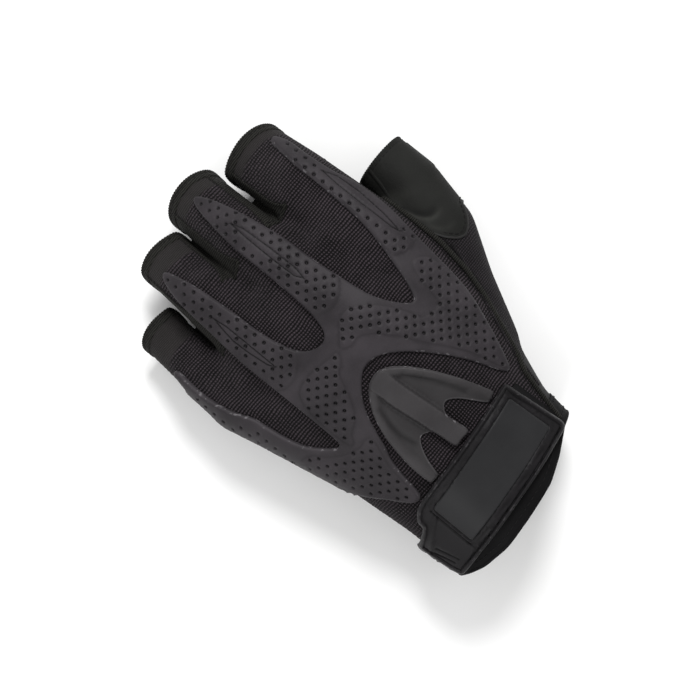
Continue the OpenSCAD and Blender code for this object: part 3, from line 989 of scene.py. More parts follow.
def smooth_step(value, low, high):
    t = np.clip((value - low) / (high - low), 0, 1)
    return t * t * (3 - 2 * t)


def tidy_line(line, spacing, closed=False):
    """Evens out a line that was cut from triangles."""
    line = resample(line, spacing, closed)
    for _ in range(3):
        middle = (np.roll(line, 1, axis=0) + 2 * line + np.roll(line, -1, axis=0)) / 4
        if not closed:
            middle[0], middle[-1] = line[0], line[-1]
        line = middle
    return settle(line, 2)


def finish_piece(obj, slot, motion, *nodes):
    """Hangs a piece on its body, or for a motion listed in BLENDS only bakes its transform in place, and
    hides the CAD nodes that it replaces. slot is not used.
    """
    if motion in BLENDS:
        first, second, start, end = BLENDS[motion]
        [v * MM for v in start]
        [v * MM for v in end]
        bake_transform(obj)
    else:
        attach(obj, motion)
    if nodes:
        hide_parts(*nodes)
    return obj


def sew(name, beads, material, slot, motion, *nodes):
    """One piece made of beads or of rows of stitches."""
    return finish_piece(make_piece(name, *join_parts(beads), material), slot, motion, *nodes)


def panel(name, surface, material, slot, motion, node, **looks):
    """One cloth panel in place of one CAD node."""
    return finish_piece(shell(name, surface, material, **looks), slot, motion, node)


def make_seam(names, cuts, material, slots, motion, size=(1.1, 0.7, 0.05), beside=1.0, lift=0.0):
    """A raised seam along the cuts of some panels, and a row of stitches beside it.

    size is the seam's width, height and level. The stitches lie beside it and stand lift higher.
    """
    ridges, threads = [], []
    for surface, field in cuts:
        for line, closed in cut_lines(surface, field):
            line = tidy_line(line, 0.7, closed)
            ridges.append(bead(line, *size, closed))
            side = side_of(line, closed)
            inward = np.sign(np.mean(field(line + side * 1.0) - field(line - side * 1.0)))
            points, faces = stitches(settle(line + side * beside * inward), 2.3, closed=closed)
            threads.append((points + normals_at(points) * lift if lift else points, faces))
    sew(names[0], ridges, material, slots[0], motion)
    sew(names[1], threads, THREAD, slots[1], motion)


TIP_START = {"index": 16.0, "middle": 20.5, "ring": 13.0, "little": 3.5}


def tip_of(name):
    """1 on the smooth tip of a finger's back, 0 on its ribbed part."""
    stall, start = STALLS[name], TIP_START[name]
    slant = 0.08 if name == "ring" else 0.0
    return lambda p: smooth_step(stall.local(p)[0] + slant * stall.local(p)[2], start, start + 1.5)


def make_hem(name, material, slot, sides=288):
    """The turned hem at a stall's open end: a band with an overlocked, slightly scalloped rim."""
    stall = STALLS[name]
    angle = turns(sides)
    cos, sin = np.cos(angle), np.sin(angle)
    a, level = np.array(HEM_PROFILE).T[:, :, None]
    radius = np.full((len(HEM_PROFILE), sides), 4.0)
    spot = stall.reach + np.broadcast_to(a, radius.shape)
    open_yet = np.ones(radius.shape, bool)
    for _ in range(80):
        value = measure(stall.place(spot, radius * cos, radius * sin).reshape(-1, 3)).reshape(radius.shape)
        open_yet &= value < 0
        radius += np.where(open_yet, np.clip(-value * 0.7, 0.03, 0.5), 0)
    scallop = np.sin(angle * round(2 * math.pi * stall.r / 1.15))
    rim = np.exp(-((a + 0.4) / 0.55) ** 2) * (level > -0.3)
    radius = radius + level + 0.13 * rim * scallop
    rings = stall.place(spot + 0.12 * rim * scallop, radius * cos, radius * sin)
    points, faces = sweep(rings[:, ::-1])
    band = make_piece(name + "_hem_band", points, faces[:-2], material, facing=normals_at(points), sharp=70)
    finish_piece(band, slot, name, name + "_hem")
    thread = stitches(settle(rings[4]), 2.0, 1.45, 0.34, HEM_RISE + 0.04, closed=True)
    sew(name + "_hem_stitches", [thread], THREAD, slot, name)


def make_finger(name):
    stall, motion = STALLS[name], name + "_bend"
    whole = digit_surface(name)
    top = part(whole, stall.above_top_seam)
    low = part(whole, stall.below_low_seam)
    side = part(whole, flip(stall.above_top_seam), flip(stall.below_low_seam))
    panel(name + "_back_knit", top, KNIT, "waffle_knit", motion, name + "_back", rim=tip_of(name))
    panel(name + "_palm_leather", low, PALM_LEATHER, "palm_leather", motion, name + "_palm")
    for sign, label in ((1, "thumb_side"), (-1, "little_side")):
        if sign != stall.outer:
            piece = part(side, lambda p: sign * stall.local(p)[2])
            node = name + "_fourchette" if stall.outer else f"{name}_fourchette_{label}"
            panel(f"{name}_strip_{label}", piece, BINDING, "stretch_binding", motion, node)
    make_seam((name + "_seams", name + "_seam_stitches"),
              [(top, stall.above_top_seam), (low, stall.below_low_seam)],
              BINDING, ("stretch_binding",) * 2, motion)
    make_hem(name, BINDING, "stretch_binding")


for finger in ("index", "middle", "ring", "little"):
    make_finger(finger)


# ---------------------------------------------------------------- panels of the hand
def make_hand_panels():
    body = part(HAND, cuff_field(CUFF_BAND))
    dorsal, below = part(body, back_field), part(body, flip(back_field))
    side, palm = part(below, gusset_field), part(below, flip(gusset_field))
    back = part(dorsal, flip(fourchette_field))
    saddle = depth_in(SADDLE)
    cover, gusset = part(side, saddle), part(side, flip(saddle))
    panel("back_knit", back, KNIT, "waffle_knit", "hand", "back_panel")
    panel("palm_leather", palm, PALM_LEATHER, "palm_leather", "hand", "palm_panel")
    panel("thumb_gusset_cloth", gusset, WOVEN, "waffle_knit", "hand", "thumb_gusset")
    panel("thumb_saddle_leather", cover, THUMB_LEATHER, "thumb_leather", "hand", "thumb_saddle",
          rise=thumb_folds, rim=painted_fold_shading)
    points, tris = part(dorsal, fourchette_field)
    for name, x in (("index_middle", 12.5), ("middle_ring", -15.5), ("ring_little", -40.0)):
        mine = np.abs(points[tris].mean(axis=1)[:, 0] - x) < 9
        panel("crotch_strip_" + name, drop_unused(points, tris[mine]), BINDING, "stretch_binding", "hand",
              "crotch_" + name)
    make_seam(("crotch_seams", "crotch_stitches"), [(back, fourchette_field)], BINDING,
              ("stretch_binding",) * 2, "hand", (1.5, 1.0, 0.05), 1.2)
    make_seam(("side_seam", "side_seam_stitches"), [(palm, lambda q: q[:, 2] - seam_z(q[:, 1]))], BINDING,
              ("stretch_binding", "palm_leather"), "hand", (1.2, 0.7, 0.05), 1.4)
    # The roll is in the lighter copy of the leather: painted highlight.
    make_seam(("thumb_saddle_roll", "thumb_saddle_stitches"), [(cover, saddle)], ROLL_LEATHER,
              ("thumb_leather",) * 2, "hand", (1.0, 0.8, COVER_RISE - 0.1), 1.5, COVER_RISE)


# Web at the bottom of a slit: its name, stall, first and last y, and how deep it runs at both ends.
WEBS = [("index_middle", "middle", 66.5, 80.5, 3.2, 9.0), ("middle_ring", "middle", 66.0, 90.0, 3.0, 8.5),
        ("ring_little", "little", 53.0, 67.0, 2.6, 6.5)]
WEB_HALF = 2.0        # half its width, so that it ends inside the stalls' cloth


def make_webs():
    """The cloth between two fingers, which closes the slit from below."""
    for name, stall, start, end, shallow, deep in WEBS:
        rows = np.arange(start, end, 0.8)
        t = smooth_step(rows, start, end - 4)
        sides = [lay(np.column_stack([slit_x(name, rows) + step, rows]))[0][:, 2] for step in (3.5, -3.5)]
        floor = np.minimum(*sides) - shallow - t * (deep - shallow)
        u = np.linspace(-1, 1, 9)
        x = slit_x(name, rows)[:, None] + WEB_HALF * u
        z = floor[:, None] + 0.8 * u ** 2 + 0.06 * np.sin(rows * 5.2)[:, None]
        grid = np.stack([x, np.broadcast_to(rows[:, None], x.shape), z], axis=2)
        under = grid - np.array([0, 0, FABRIC])
        web = sweep(np.concatenate([grid, under[:, ::-1]], axis=1))
        sew("web_" + name, [web], BINDING, "stretch_binding", stall + "_bend")


COVER_RISE = 0.45     # how far the thumb's leather stands above the gusset
THUMB_SPLIT_LEVEL = 0.3
# Folds of the thumb's leather where it bends: line, height and width.
THUMB_FOLDS = [
    ([(43.6, 33), (44.6, 28.5), (46.4, 25), (49, 23.2), (53, 23.6)], 1.0, 1.2),
    ([(44.4, 34), (46.4, 29.2), (48.6, 26.4), (51.5, 25.6)], -0.7, 1.5),
    ([(45.2, 23), (46.6, 19.4), (49, 17.2), (52.4, 16.8)], 0.6, 1.3),
    ([(45, 41), (48.5, 37.5), (53, 36), (58.5, 37)], 0.35, 2.2),
]


def thumb_folds(points):
    """Level of the thumb's leather above the hand, folds included."""
    level = np.full(len(points), COVER_RISE)
    for line, height, width in THUMB_FOLDS:
        distance = near_lines(points[:, :2], [spline(line, 0.8)])
        reach = smooth_step(points[:, 2], 8.0, 14.0) * (1 - smooth_step(points[:, 0], 49.0, 55.0))
        level += height * np.exp(-(distance / width) ** 2) * reach
    return level


GUSSET_SEAM = [(45.6, 12.5), (41.2, -1), (36.9, -11), (32.2, -22), (28.6, -34), (25.8, -46)]
LOBE_SEAM = [(48.2, 53.5), (47.5, 50.5), (46.7, 46.7), (45.3, 42.2), (43.8, 37.0)]


# Painted light and shade of the thumb's folds: lighter on their crests, darker in the hollow fold.
def painted_fold_shading(points):
    return thumb_folds(points) - COVER_RISE


def make_thumb():
    stall, motion = STALLS["thumb"], "thumb_bend"
    whole = digit_surface("thumb")

    def split(p):
        return stall.local(p)[1] - THUMB_SPLIT_LEVEL

    top, low = part(whole, split), part(whole, flip(split))
    panel("thumb_cover_leather", top, THUMB_LEATHER, "thumb_leather", motion, "thumb_back",
          rise=thumb_folds, rim=painted_fold_shading)
    panel("thumb_palm_leather", low, THUMB_LEATHER, "thumb_leather", motion, "thumb_palm")
    make_seam(("thumb_side_seams", "thumb_side_stitches"), [(low, flip(split))], THUMB_LEATHER,
              ("thumb_leather",) * 2, motion, (1.2, 1.0, 0.2), 1.5)
    lobe = bead(lay(spline(LOBE_SEAM, 0.7))[0], 1.3, 0.9, COVER_RISE)
    sew("thumb_lobe_seam", [lobe], THUMB_LEATHER, "thumb_leather", motion)
    make_hem("thumb", THUMB_LEATHER, "thumb_leather")


def make_piping():
    """The rolled seam between the back and the thumb side, and the second seam beside it."""
    y = np.arange(62, -60, -0.8)
    path = tidy_line(lay(np.column_stack([piping_x(y), y]))[0], 0.8)
    swell = 1 + 0.05 * np.sin(np.arange(len(path)) * 1.9)
    roll = bead(path, 2.3, 1.9, 0.35, sides=12, twist=swell)
    sew("seam_roll", [roll], BINDING, "thumb_leather", "hand", "seam_piping")
    side = side_of(path)
    free = path[:, 1] < THUMB_SPLIT
    rows = [stitches(settle(path + side * s)[free], 2.2) for s in (1.9, -1.9)]
    sew("seam_roll_stitches", rows, THREAD, "stretch_binding", "hand")
    line = lay(spline(GUSSET_SEAM, 0.8))[0]
    sew("gusset_seam", [bead(line, 1.5, 1.0, 0.15)], WOVEN, "waffle_knit", "hand")


def make_cuff():
    band = part(HAND, flip(cuff_field(CUFF_BAND)))
    panel("cuff_band_leather", band, CUFF_LEATHER, "cuff_binding", "hand", "cuff_band", rise=0.5)
    edge = [tidy_line(line, 0.8, closed) for line, closed in cut_lines(band, cuff_field(0.0))]
    edge = max(edge, key=len)
    sew("cuff_edge_roll", [bead(edge, 1.7, 2.3, -0.35, True, 12)], CUFF_LEATHER, "cuff_binding", "hand")
    rows = [stitches(settle(edge + np.array([0, depth, 0])), 2.6, level=0.6, closed=True)
            for depth in (2.4, CUFF_BAND - 1.4)]
    sew("cuff_stitches", rows, THREAD, "cuff_binding", "hand")
    inner = part(HAND, cuff_field(0.8), lambda p: -34.0 - p[:, 1])
    panel("wrist_lining_cloth", inner, LINING, "lining", "hand", "wrist_lining", thickness=2.0, rise=-1.3)


# ---------------------------------------------------------------- moulded plates
SUNK = -0.3           # level of a plate's underside, just inside the cloth


def rounded(points, radius, steps=4):
    """A closed outline with its corners rounded."""
    p = np.asarray(points, float)
    out = []
    for before, here, after in zip(np.roll(p, 1, axis=0), p, np.roll(p, -1, axis=0)):
        a, b = before - here, after - here
        cut = min(radius, np.linalg.norm(a) * 0.45, np.linalg.norm(b) * 0.45)
        a, b = here + a / np.linalg.norm(a) * cut, here + b / np.linalg.norm(b) * cut
        for t in np.linspace(0, 1, steps):
            out.append((1 - t) ** 2 * a + 2 * t * (1 - t) * here + t ** 2 * b)
    return resample(out, 0.8, True)


def vertex_normals(points, tris):
    n = face_normals(points, tris)
    out = np.zeros_like(points)
    for k in range(3):
        np.add.at(out, tris[:, k], n)
    return unit(out)


class Plate:
    """A moulded plate: an outline seen from above, filled with triangles and laid on the hand."""

    def __init__(self, outline, spacing, offsets, marks=(), cut=()):
        loop = np.asarray(outline, float)
        if outline_area(loop) < 0:
            loop = loop[::-1]
        inward = left_of(loop, True)
        extra = []
        for offset in offsets:
            ring = loop + inward * offset
            extra.append(ring[depth_inside(ring, loop) > offset * 0.9])
        low, high = loop.min(axis=0), loop.max(axis=0)
        grid = []
        for k, y in enumerate(np.arange(low[1], high[1], spacing * 0.87)):
            x = np.arange(low[0] + (k % 2) * spacing / 2, high[0], spacing)
            grid.append(np.column_stack([x, np.full(len(x), y)]))
        grid = np.concatenate(grid)
        grid = grid[depth_inside(grid, loop) > offsets[-1] + 0.4]
        marks, cut = (np.asarray(p, float).reshape(-1, 2) for p in (marks, cut))
        marks = marks[depth_inside(marks, loop) > 0.3]
        cut = cut[depth_inside(cut, loop) > 0.05]
        steps = np.linalg.norm(np.diff(cut, axis=0), axis=1)
        edges = [(len(loop) + i, len(loop) + i + 1) for i in range(len(steps)) if steps[i] < 1.5]
        grid = grid[far_from(grid, marks, 0.5) & far_from(grid, cut, 0.45)]
        extra = [ring[far_from(ring, cut, 0.25)] for ring in extra]
        points = np.concatenate([loop, cut, *extra, marks, grid])
        result = geometry.delaunay_2d_cdt([Vector(p) for p in points.tolist()], edges,
                                          [list(range(len(loop)))], 1, 1e-5)
        self.xy = np.array([tuple(v) for v in result[0]])
        self.tris = np.array([f for f in result[2] if len(f) == 3])
        self.edge = outline_distance(self.xy, loop)[0]

    def build(self, top, bottom, from_below=False, aim=True):
        """Lays the top and the underside at their levels above the hand."""
        self.top = lay_aimed(self.xy, top, from_below, aim)
        self.under = lay_aimed(self.xy, bottom, from_below, aim)
        if from_below:
            self.tris = self.tris[:, ::-1]
        self.normals = vertex_normals(self.top, self.tris)

    def piece(self, name, material, slot, motion, *nodes, rim=0.0, keep=None):
        tris = self.tris if keep is None else self.tris[keep(self.xy[self.tris].mean(axis=1))]
        used, tris = drop_unused(np.arange(len(self.xy)), tris)
        both = np.concatenate([self.top[used], self.under[used]])
        walls = wall_quads(tris, len(used))
        wall_n = vertex_normals(both, np.concatenate([walls[:, :3], walls[:, [0, 2, 3]]]))
        rim = np.broadcast_to(rim, len(self.xy))[used]
        obj = two_sided(name, both, self.normals[used], tris, walls, wall_n[walls].reshape(-1, 3),
                        np.append(rim, 0 * rim), material)
        return finish_piece(obj, slot, motion, *nodes)


def outline_area(p):
    q = np.roll(p, -1, axis=0)
    return 0.5 * np.sum(p[:, 0] * q[:, 1] - q[:, 0] * p[:, 1])


def far_from(points, others, limit):
    keep = np.ones(len(points), bool)
    for k in range(0, len(points), 500):
        d = points[k:k + 500, None] - others[None]
        keep[k:k + 500] = ((d ** 2).sum(axis=2) > limit ** 2).all(axis=1)
    return keep


def lay_aimed(xy, level, from_below, aim):
    """As lay(), and the raised point, not its foot, stands over xy."""
    base = np.array(xy, float)
    if aim:
        for _ in range(4):
            at, _ = lay(base, level, from_below)
            base += 0.7 * (xy - at[:, :2])
            edge = np.interp(base[:, 1], AXES[1], EDGE_X) - 1.0
            base[:, 0] = np.maximum(base[:, 0], edge)
    return lay(base, level, from_below)[0]


def rounded_edge(d, low, high, width=0.9):
    """Level of a plate near its outline: a quarter round from low to high."""
    t = np.clip(d / width, 0, 1)
    return low + (high - low) * np.sqrt(1 - (1 - t) ** 2)


def ring_of(radius, count, turn=0.0):
    angle = turns(count) + turn
    return radius * np.column_stack([np.cos(angle), np.sin(angle)])


def near_lines(xy, lines):
    return np.min([outline_distance(xy, line, closed=False)[0] for line in lines], axis=0)


def groove_marks(lines, half=0.32, spacing=0.55):
    """Mesh points along some lines and on both sides of them."""
    out = []
    for line in lines:
        line = resample(line, spacing)
        normal = left_of(line)
        out += [line, line + normal * half, line - normal * half]
    return np.concatenate(out)


# ---------------------------------------------------------------- knuckle guard
GUARD_ARCH = [
    [22.5, -33], [20, -30], [17, -22], [14, -15.5], [10, -8.5], [6, -2.5], [2, 2.5], [-3, 6.8], [-8, 8.5],
    [-12, 7.8], [-16, 5], [-20, 1], [-23, -4], [-25.5, -10], [-27.5, -16], [-29.5, -20], [-31, -26],
    [-33, -37]]
GUARD_OUTER = [
    [-36, -37.5], [-39, -34], [-42, -29], [-46, -23], [-51.5, -12], [-55, -2], [-60, 8], [-62.5, 20],
    [-63, 34], [-62, 44], [-59, 53], [-57, 61]]
GUARD_LITTLE_GAP = [
    [-55.5, 60], [-56, 52], [-55.8, 45], [-54.5, 38], [-52.5, 32], [-50.5, 27], [-49.5, 20], [-48, 12],
    [-46, 6], [-43, 1.5], [-40, -2], [-38, -2.8], [-36.8, 0], [-36.7, 20], [-37, 40], [-36.5, 50]]
GUARD_RING = [
    [-35.8, 60], [-35.3, 70], [-34.5, 78], [-33, 84.5], [-31, 87.5], [-29.5, 86], [-28, 80], [-26.8, 73],
    [-25.7, 62], [-24.6, 46], [-23.3, 38], [-21.5, 32]]
GUARD_MIDDLE = [
    [-18.5, 27.5], [-14, 25.4], [-11, 26.2], [-9, 29], [-7.6, 35], [-7, 42], [-6.6, 60], [-6.8, 70],
    [-6.2, 79], [-5, 89], [-3.6, 95], [-2, 96.5], [-0.6, 95.3], [1.5, 90], [3.4, 82], [5, 73], [6.8, 61],
    [7.7, 48]]
GUARD_INDEX = [
    [9, 36], [10.5, 25], [13, 18], [16, 12.8], [18.5, 10.2], [20.5, 11], [22.5, 15], [25, 23], [27.5, 32],
    [29.3, 41], [30.2, 52], [30.5, 64], [30.4, 74], [31, 82], [31.8, 87.5], [33, 88.6], [34.4, 87.6],
    [35.9, 82], [36.1, 73], [37.2, 63], [39, 55], [39.8, 46], [39.6, 36], [38.3, 25], [37, 12],
    [35.5, 0], [33.4, -8], [30.5, -16], [27.5, -23.5], [25, -29]]
DOT_ZONES = [
    [(-10, 19.5), (-6, 23), (-2, 26), (2, 26), (6, 23), (10, 18), (13, 12.5), (15.5, 6), (17, 3.5), (24, 2),
     (26, 8), (27, 14), (29.5, 19), (33, 18), (35, 14), (35, 4), (33.5, -4), (31, -12), (28, -19), (25, -27),
     (22.3, -31.5), (20.5, -27), (18.5, -19), (15.5, -12), (12, -5.5), (8.5, 1), (7, 5), (4, 10), (1, 14.5),
     (-3, 17.5), (-7, 17.5)],
    [(-30, 21), (-24, 21.5), (-16, 20), (-12.5, 19.5), (-14, 16.5), (-18, 14), (-20, 10), (-23, 4), (-27, -1),
     (-31, -3), (-34, -6), (-35, 2), (-34.5, 12), (-33, 18)],
    [(-51, 4), (-50.5, -3), (-48.5, -12), (-46.5, -20), (-43, -26.5), (-39, -32), (-36.5, -36.5),
     (-33.5, -36), (-32.5, -28), (-31.5, -21), (-29, -14), (-28.5, -9), (-33, -9), (-38, -7), (-43, -3),
     (-46.5, 2)],
    [(-62, 8), (-62, 50), (-58, 56), (-57.4, 44), (-56, 34), (-53, 26), (-51.5, 14), (-52.5, 2), (-55, 2)],
]
# Dotted pads of the fingers: x range, lowest y and its x.
PADS = {
    "middle": (-8.5, 9.0, 31.0, 0.0),
    "ring": (-37.5, -21.0, 25.0, -30.5),
    "index": (27.5, 41.0, 23.5, 33.5),
}
GUARD_GROOVES = [
    [(0.4, 45.8), (-0.9, 48.5), (-1.3, 58), (-1.4, 72), (-1.1, 78.8), (0.2, 74), (1.0, 62), (1.3, 50),
     (0.6, 46)],
    [(-30.2, 33.4), (-31.2, 36), (-32.2, 44), (-32.5, 51), (-31.9, 56), (-31.1, 61.7), (-30.4, 56),
     (-30.2, 44), (-30.0, 34)],
    [(35.0, 30.4), (34.5, 33), (34.2, 46), (34.0, 58), (34.4, 65.8), (36.2, 60), (36.8, 50), (36.2, 38),
     (35.3, 30.8)],
]
RAISED_FIELDS = [spline(zone, 0.8, True) for zone in DOT_ZONES[:3]]
LATTICE = (0.2, 44.0, 2.42, 2.1)       # x and y of one pit, half the steps between pits
DIMPLE = 0.84         # radius of a pit
GUARD_EDGE, GUARD_TOP = 1.0, 1.75      # levels above the hand at the outline and on the body
PAD_STEP, FIELD_STEP = 0.36, 0.26      # how far the pads and the dotted fields stand above the body
PIT, GROOVE, LIP = 0.8, 0.55, 0.1      # depth of the pits and the grooves, height of a pit's lip
GUARD_CUT = 68.15     # between two rows of dimples, where the guard's fingers part from it


def pad_foot(x, low, middle):
    """y of the rounded lower end of a finger's pad."""
    return low + ((x - middle) / 7.0) ** 2 * 3.5


def pad_depth(xy):
    """How far a point lies inside the finger pads, measured from their rounded lower ends."""
    out = np.full(len(xy), -9.0)
    for x0, x1, low, middle in PADS.values():
        inside = (xy[:, 0] > x0) & (xy[:, 0] < x1)
        depth = np.where(inside, xy[:, 1] - pad_foot(xy[:, 0], low, middle), -9)
        out = np.maximum(out, depth)
    return out


def field_depth(xy):
    """How far a point lies inside the raised dotted fields of the guard's body."""
    return np.max([depth_inside(xy, zone) for zone in RAISED_FIELDS], axis=0)


def step_marks():
    """Mesh points on both sides of the steps round the pads and the fields."""
    out = []
    for x0, x1, low, middle in PADS.values():
        x = np.arange(x0, x1, 0.8)
        out += [np.column_stack([x, pad_foot(x, low, middle) + shift]) for shift in (-0.3, 0.9)]
    for zone in RAISED_FIELDS:
        line = resample(zone, 0.8, True)
        normal = left_of(line)
        out += [line + normal * 0.3, line - normal * 0.3]
    return np.concatenate(out)


def dimple_places(outline):
    x0, y0, dx, dy = LATTICE
    spots = np.array([(x0 + i * dx, y0 + j * dy) for i in range(-30, 20) for j in range(-42, 28)
                      if (i + j) % 2 == 0])
    depth = depth_inside(spots, outline)
    wanted = (pad_depth(spots) > 0.8) & (depth > 1.05)
    for zone in DOT_ZONES:
        wanted |= (depth_inside(spots, zone) >= 0) & (depth > 1.5)
    spots = spots[wanted]
    return spots[near_lines(spots, GUARD_GROOVES) > 0.9]


def make_knuckle_guard():
    outline = spline(GUARD_ARCH + GUARD_OUTER + GUARD_LITTLE_GAP + GUARD_RING + GUARD_MIDDLE + GUARD_INDEX,
                     0.9, True)
    edge = np.interp(outline[:, 1], AXES[1], EDGE_X) - 3.0
    outline[:, 0] = np.maximum(outline[:, 0], np.where(outline[:, 1] > -22, edge, -99))
    spots = dimple_places(outline)
    # On the steep side of the hand a round pit is narrow when seen from above.
    narrow = np.column_stack([np.clip(lay(spots)[1][:, 2], 0.35, 1), np.ones(len(spots))])
    marks = [spots]
    for spot, squeeze in zip(spots, narrow):
        marks += [spot + ring_of(DIMPLE, 8) * squeeze, spot + ring_of(DIMPLE * 0.6, 8, 0.39) * squeeze]
    marks += [groove_marks(GUARD_GROOVES), step_marks()]
    cut = np.column_stack([np.arange(-40, 42, 0.8), np.full(103, GUARD_CUT)])
    plate = Plate(outline, 1.15, (0.25, 0.6, 1.1), np.concatenate(marks), cut)
    xy = plate.xy
    pad, field = pad_depth(xy), field_depth(xy)
    raised = PAD_STEP * smooth_step(pad, -0.2, 0.8) + FIELD_STEP * smooth_step(field, -0.3, 0.3)
    level = rounded_edge(plate.edge, GUARD_EDGE, GUARD_TOP) + raised * smooth_step(plate.edge, 0.1, 0.8)
    nearest = np.min([np.linalg.norm((xy - spot) / squeeze, axis=1) for spot, squeeze in zip(spots, narrow)],
                     axis=0)
    in_pit = 1 - smooth_step(nearest, DIMPLE * 0.55, DIMPLE * 0.98)
    in_groove = 1 - smooth_step(near_lines(xy, GUARD_GROOVES), 0.05, 0.3)
    lip = np.exp(-((nearest - DIMPLE - 0.22) / 0.2) ** 2)
    plate.build(level + LIP * lip - PIT * in_pit - GROOVE * in_groove, SUNK, aim=False)
    # Painted shadow at the foot of the steps round the pads and the dotted fields.
    foot = np.exp(-((np.maximum(pad - 0.2, field) + 0.35) / 0.35) ** 2) * smooth_step(plate.edge, 0.3, 1.2)
    bottom = 1 - smooth_step(nearest, 0, DIMPLE * 0.5)
    # rim: pale trimmed edge (partly chipped wear, partly painted highlight), painted highlight on the pits'
    # lips, painted shade in the grooves, painted shadow at the steps' foot.
    rim = 0.9 - 0.9 * smooth_step(plate.edge, 0.1, 0.45) + 0.16 * lip - in_groove - 0.28 * foot
    # Painted shade in the pits, darker on their walls than at their centre.
    rim -= in_pit * (0.85 - 0.4 * bottom)
    plate.piece("knuckle_guard_moulding", GUARD_RUBBER, "guard_rubber", "hand", "knuckle_guard", rim=rim,
                keep=lambda c: c[:, 1] < GUARD_CUT)
    for name, (x0, x1) in {"ring": (-99, -20), "middle": (-20, 18), "index": (18, 99)}.items():
        plate.piece(name + "_guard_moulding", GUARD_RUBBER, "guard_rubber", name + "_bend", name + "_guard",
                    rim=rim, keep=lambda c: (c[:, 1] > GUARD_CUT) & (c[:, 0] > x0) & (c[:, 0] < x1))


# ---------------------------------------------------------------- guard above the wrist
CARPAL_TOP = [
    [12, -33.4], [11.8, -31.5], [10.2, -26], [8.4, -20.5], [6.6, -16], [4.6, -11.5], [2, -6.5], [-1, -2],
    [-4, 1.4], [-7, 3.5], [-10, 4.2], [-13.5, 3.4], [-16.5, 1.4], [-19.3, -1.8], [-21.7, -5.5],
    [-23.6, -10], [-25, -14.5], [-26, -20], [-26.8, -26], [-27, -32], [-26.6, -37]]
CARPAL_SCOOPS = [
    [-23, -37], [-22.3, -34], [-21.3, -30.5], [-19.8, -27], [-18, -24.3], [-16.2, -23], [-14.4, -23.7],
    [-12.5, -25.2], [-11.8, -30], [-11, -35], [-7.5, -35], [-3.8, -34.8], [-4.3, -29], [-4.5, -25],
    [-3, -22.6], [-1.2, -21.7], [0.6, -22.5], [3, -25.2], [5.2, -29], [7.2, -32.5], [8.4, -34.3]]
RIB = [(-15.0, 4), (-14.6, -8), (-13.0, -20), (-11.6, -36), (-3.2, -36), (-4.6, -22), (-6.0, -8), (-6.6, 4)]
CARPAL_EDGE, CARPAL_LEVEL, RIB_LEVEL = 0.8, 2.4, 2.95
CARPAL_VALLEY, CARPAL_CREASE = 1.45, 0.4      # how deep they are
CARPAL_CREASES = [
    [(-18.6, -5.5), (-20.2, -12), (-20.6, -18), (-19.6, -23)],
    [(-3.5, -3.5), (-0.5, -9), (2.2, -14), (4.6, -20), (6.2, -25)],
]


def make_carpal_guard():
    outline = resample(spline(CARPAL_TOP, 0.8).tolist() + spline(CARPAL_SCOOPS, 0.8).tolist(), 0.8, True)
    marks = [groove_marks(CARPAL_CREASES, 0.5, 0.7), groove_marks([RIB[:4], RIB[4:]], 0.4, 0.7)]
    plate = Plate(outline, 0.95, (0.25, 0.6, 1.1), np.concatenate(marks))
    xy = plate.xy
    valley = smooth_step(near_lines(xy, [CARPAL_TOP]), 2.0, 4.6)
    crease = 1 - smooth_step(near_lines(xy, CARPAL_CREASES), 0.1, 1.8)
    on_rib = smooth_step(depth_inside(xy, RIB), -0.3, 0.3)
    level = CARPAL_LEVEL - CARPAL_VALLEY * valley - CARPAL_CREASE * crease
    level += (RIB_LEVEL - level) * on_rib
    plate.build(rounded_edge(plate.edge, CARPAL_EDGE, level), SUNK, aim=False)
    # rim: pale trimmed edge (partly chipped wear, partly painted highlight), and painted shade in the valley
    # and the creases beside the rib.
    rim = 1 - smooth_step(plate.edge, 0.1, 0.5) - (0.3 * valley + 0.35 * crease) * (1 - on_rib)
    plate.piece("carpal_guard_moulding", CARPAL_RUBBER, "carpal_rubber", "hand", "carpal_guard", rim=rim)


# ---------------------------------------------------------------- wrist strap
STRAP = [
    [16.9, -34.6], [17.9, -35.2], [20.9, -60.4], [20.4, -62], [18.6, -62.7], [0, -64.2], [-20, -65.9],
    [-35.2, -67.4], [-46.8, -68.8], [-48, -64], [-49, -56], [-49.6, -50.4], [-45.2, -48], [-42, -46],
    [-42, -43], [-38.5, -40], [-35.2, -38.8], [-27, -37.8], [-12, -37], [4, -35.6]]
LABEL_OUTLINE = [[14.6, -39], [16, -57.6], [-34, -61.9], [-34, -43.4]]
TOE_RIDGE = [(-35.4, -45.9), (-40, -49), (-44.2, -52), (-48.3, -54.7)]
TOE_LINES = [[(-35.3, -44), (-35.3, -63.5)], [(-46.7, -55.4), (-45.6, -59), (-44.5, -63.2)],
             [(-44.8, -55.1), (-43.7, -59), (-42.6, -63.2)]]
FLOW_LINES = [[(18.2, -61), (0, -62.6), (-20, -64.2), (-35, -65.6), (-44.5, -66.4)]]
STRAP_LOW, STRAP_TOP, LABEL_TOP = 2.0, 3.7, 4.4
HOOK_OUTLINE = [
    [10, -39.2], [11, -60.5], [-34.6, -64.5], [-46.6, -66], [-47.6, -52.5], [-41, -48.2], [-35.8, -43]]
LOOP_OUTLINE = [[11, -39.5], [12, -54], [-12, -60], [-45, -60], [-45.6, -50], [-40, -44]]
TAB_OUTLINE = [[13, -38.5], [20.6, -38], [21.4, -51], [20.6, -56], [13.5, -56]]


def ridge(distance, width, height):
    return height * np.cos(np.clip(distance / width, -1, 1) * math.pi / 2) ** 2


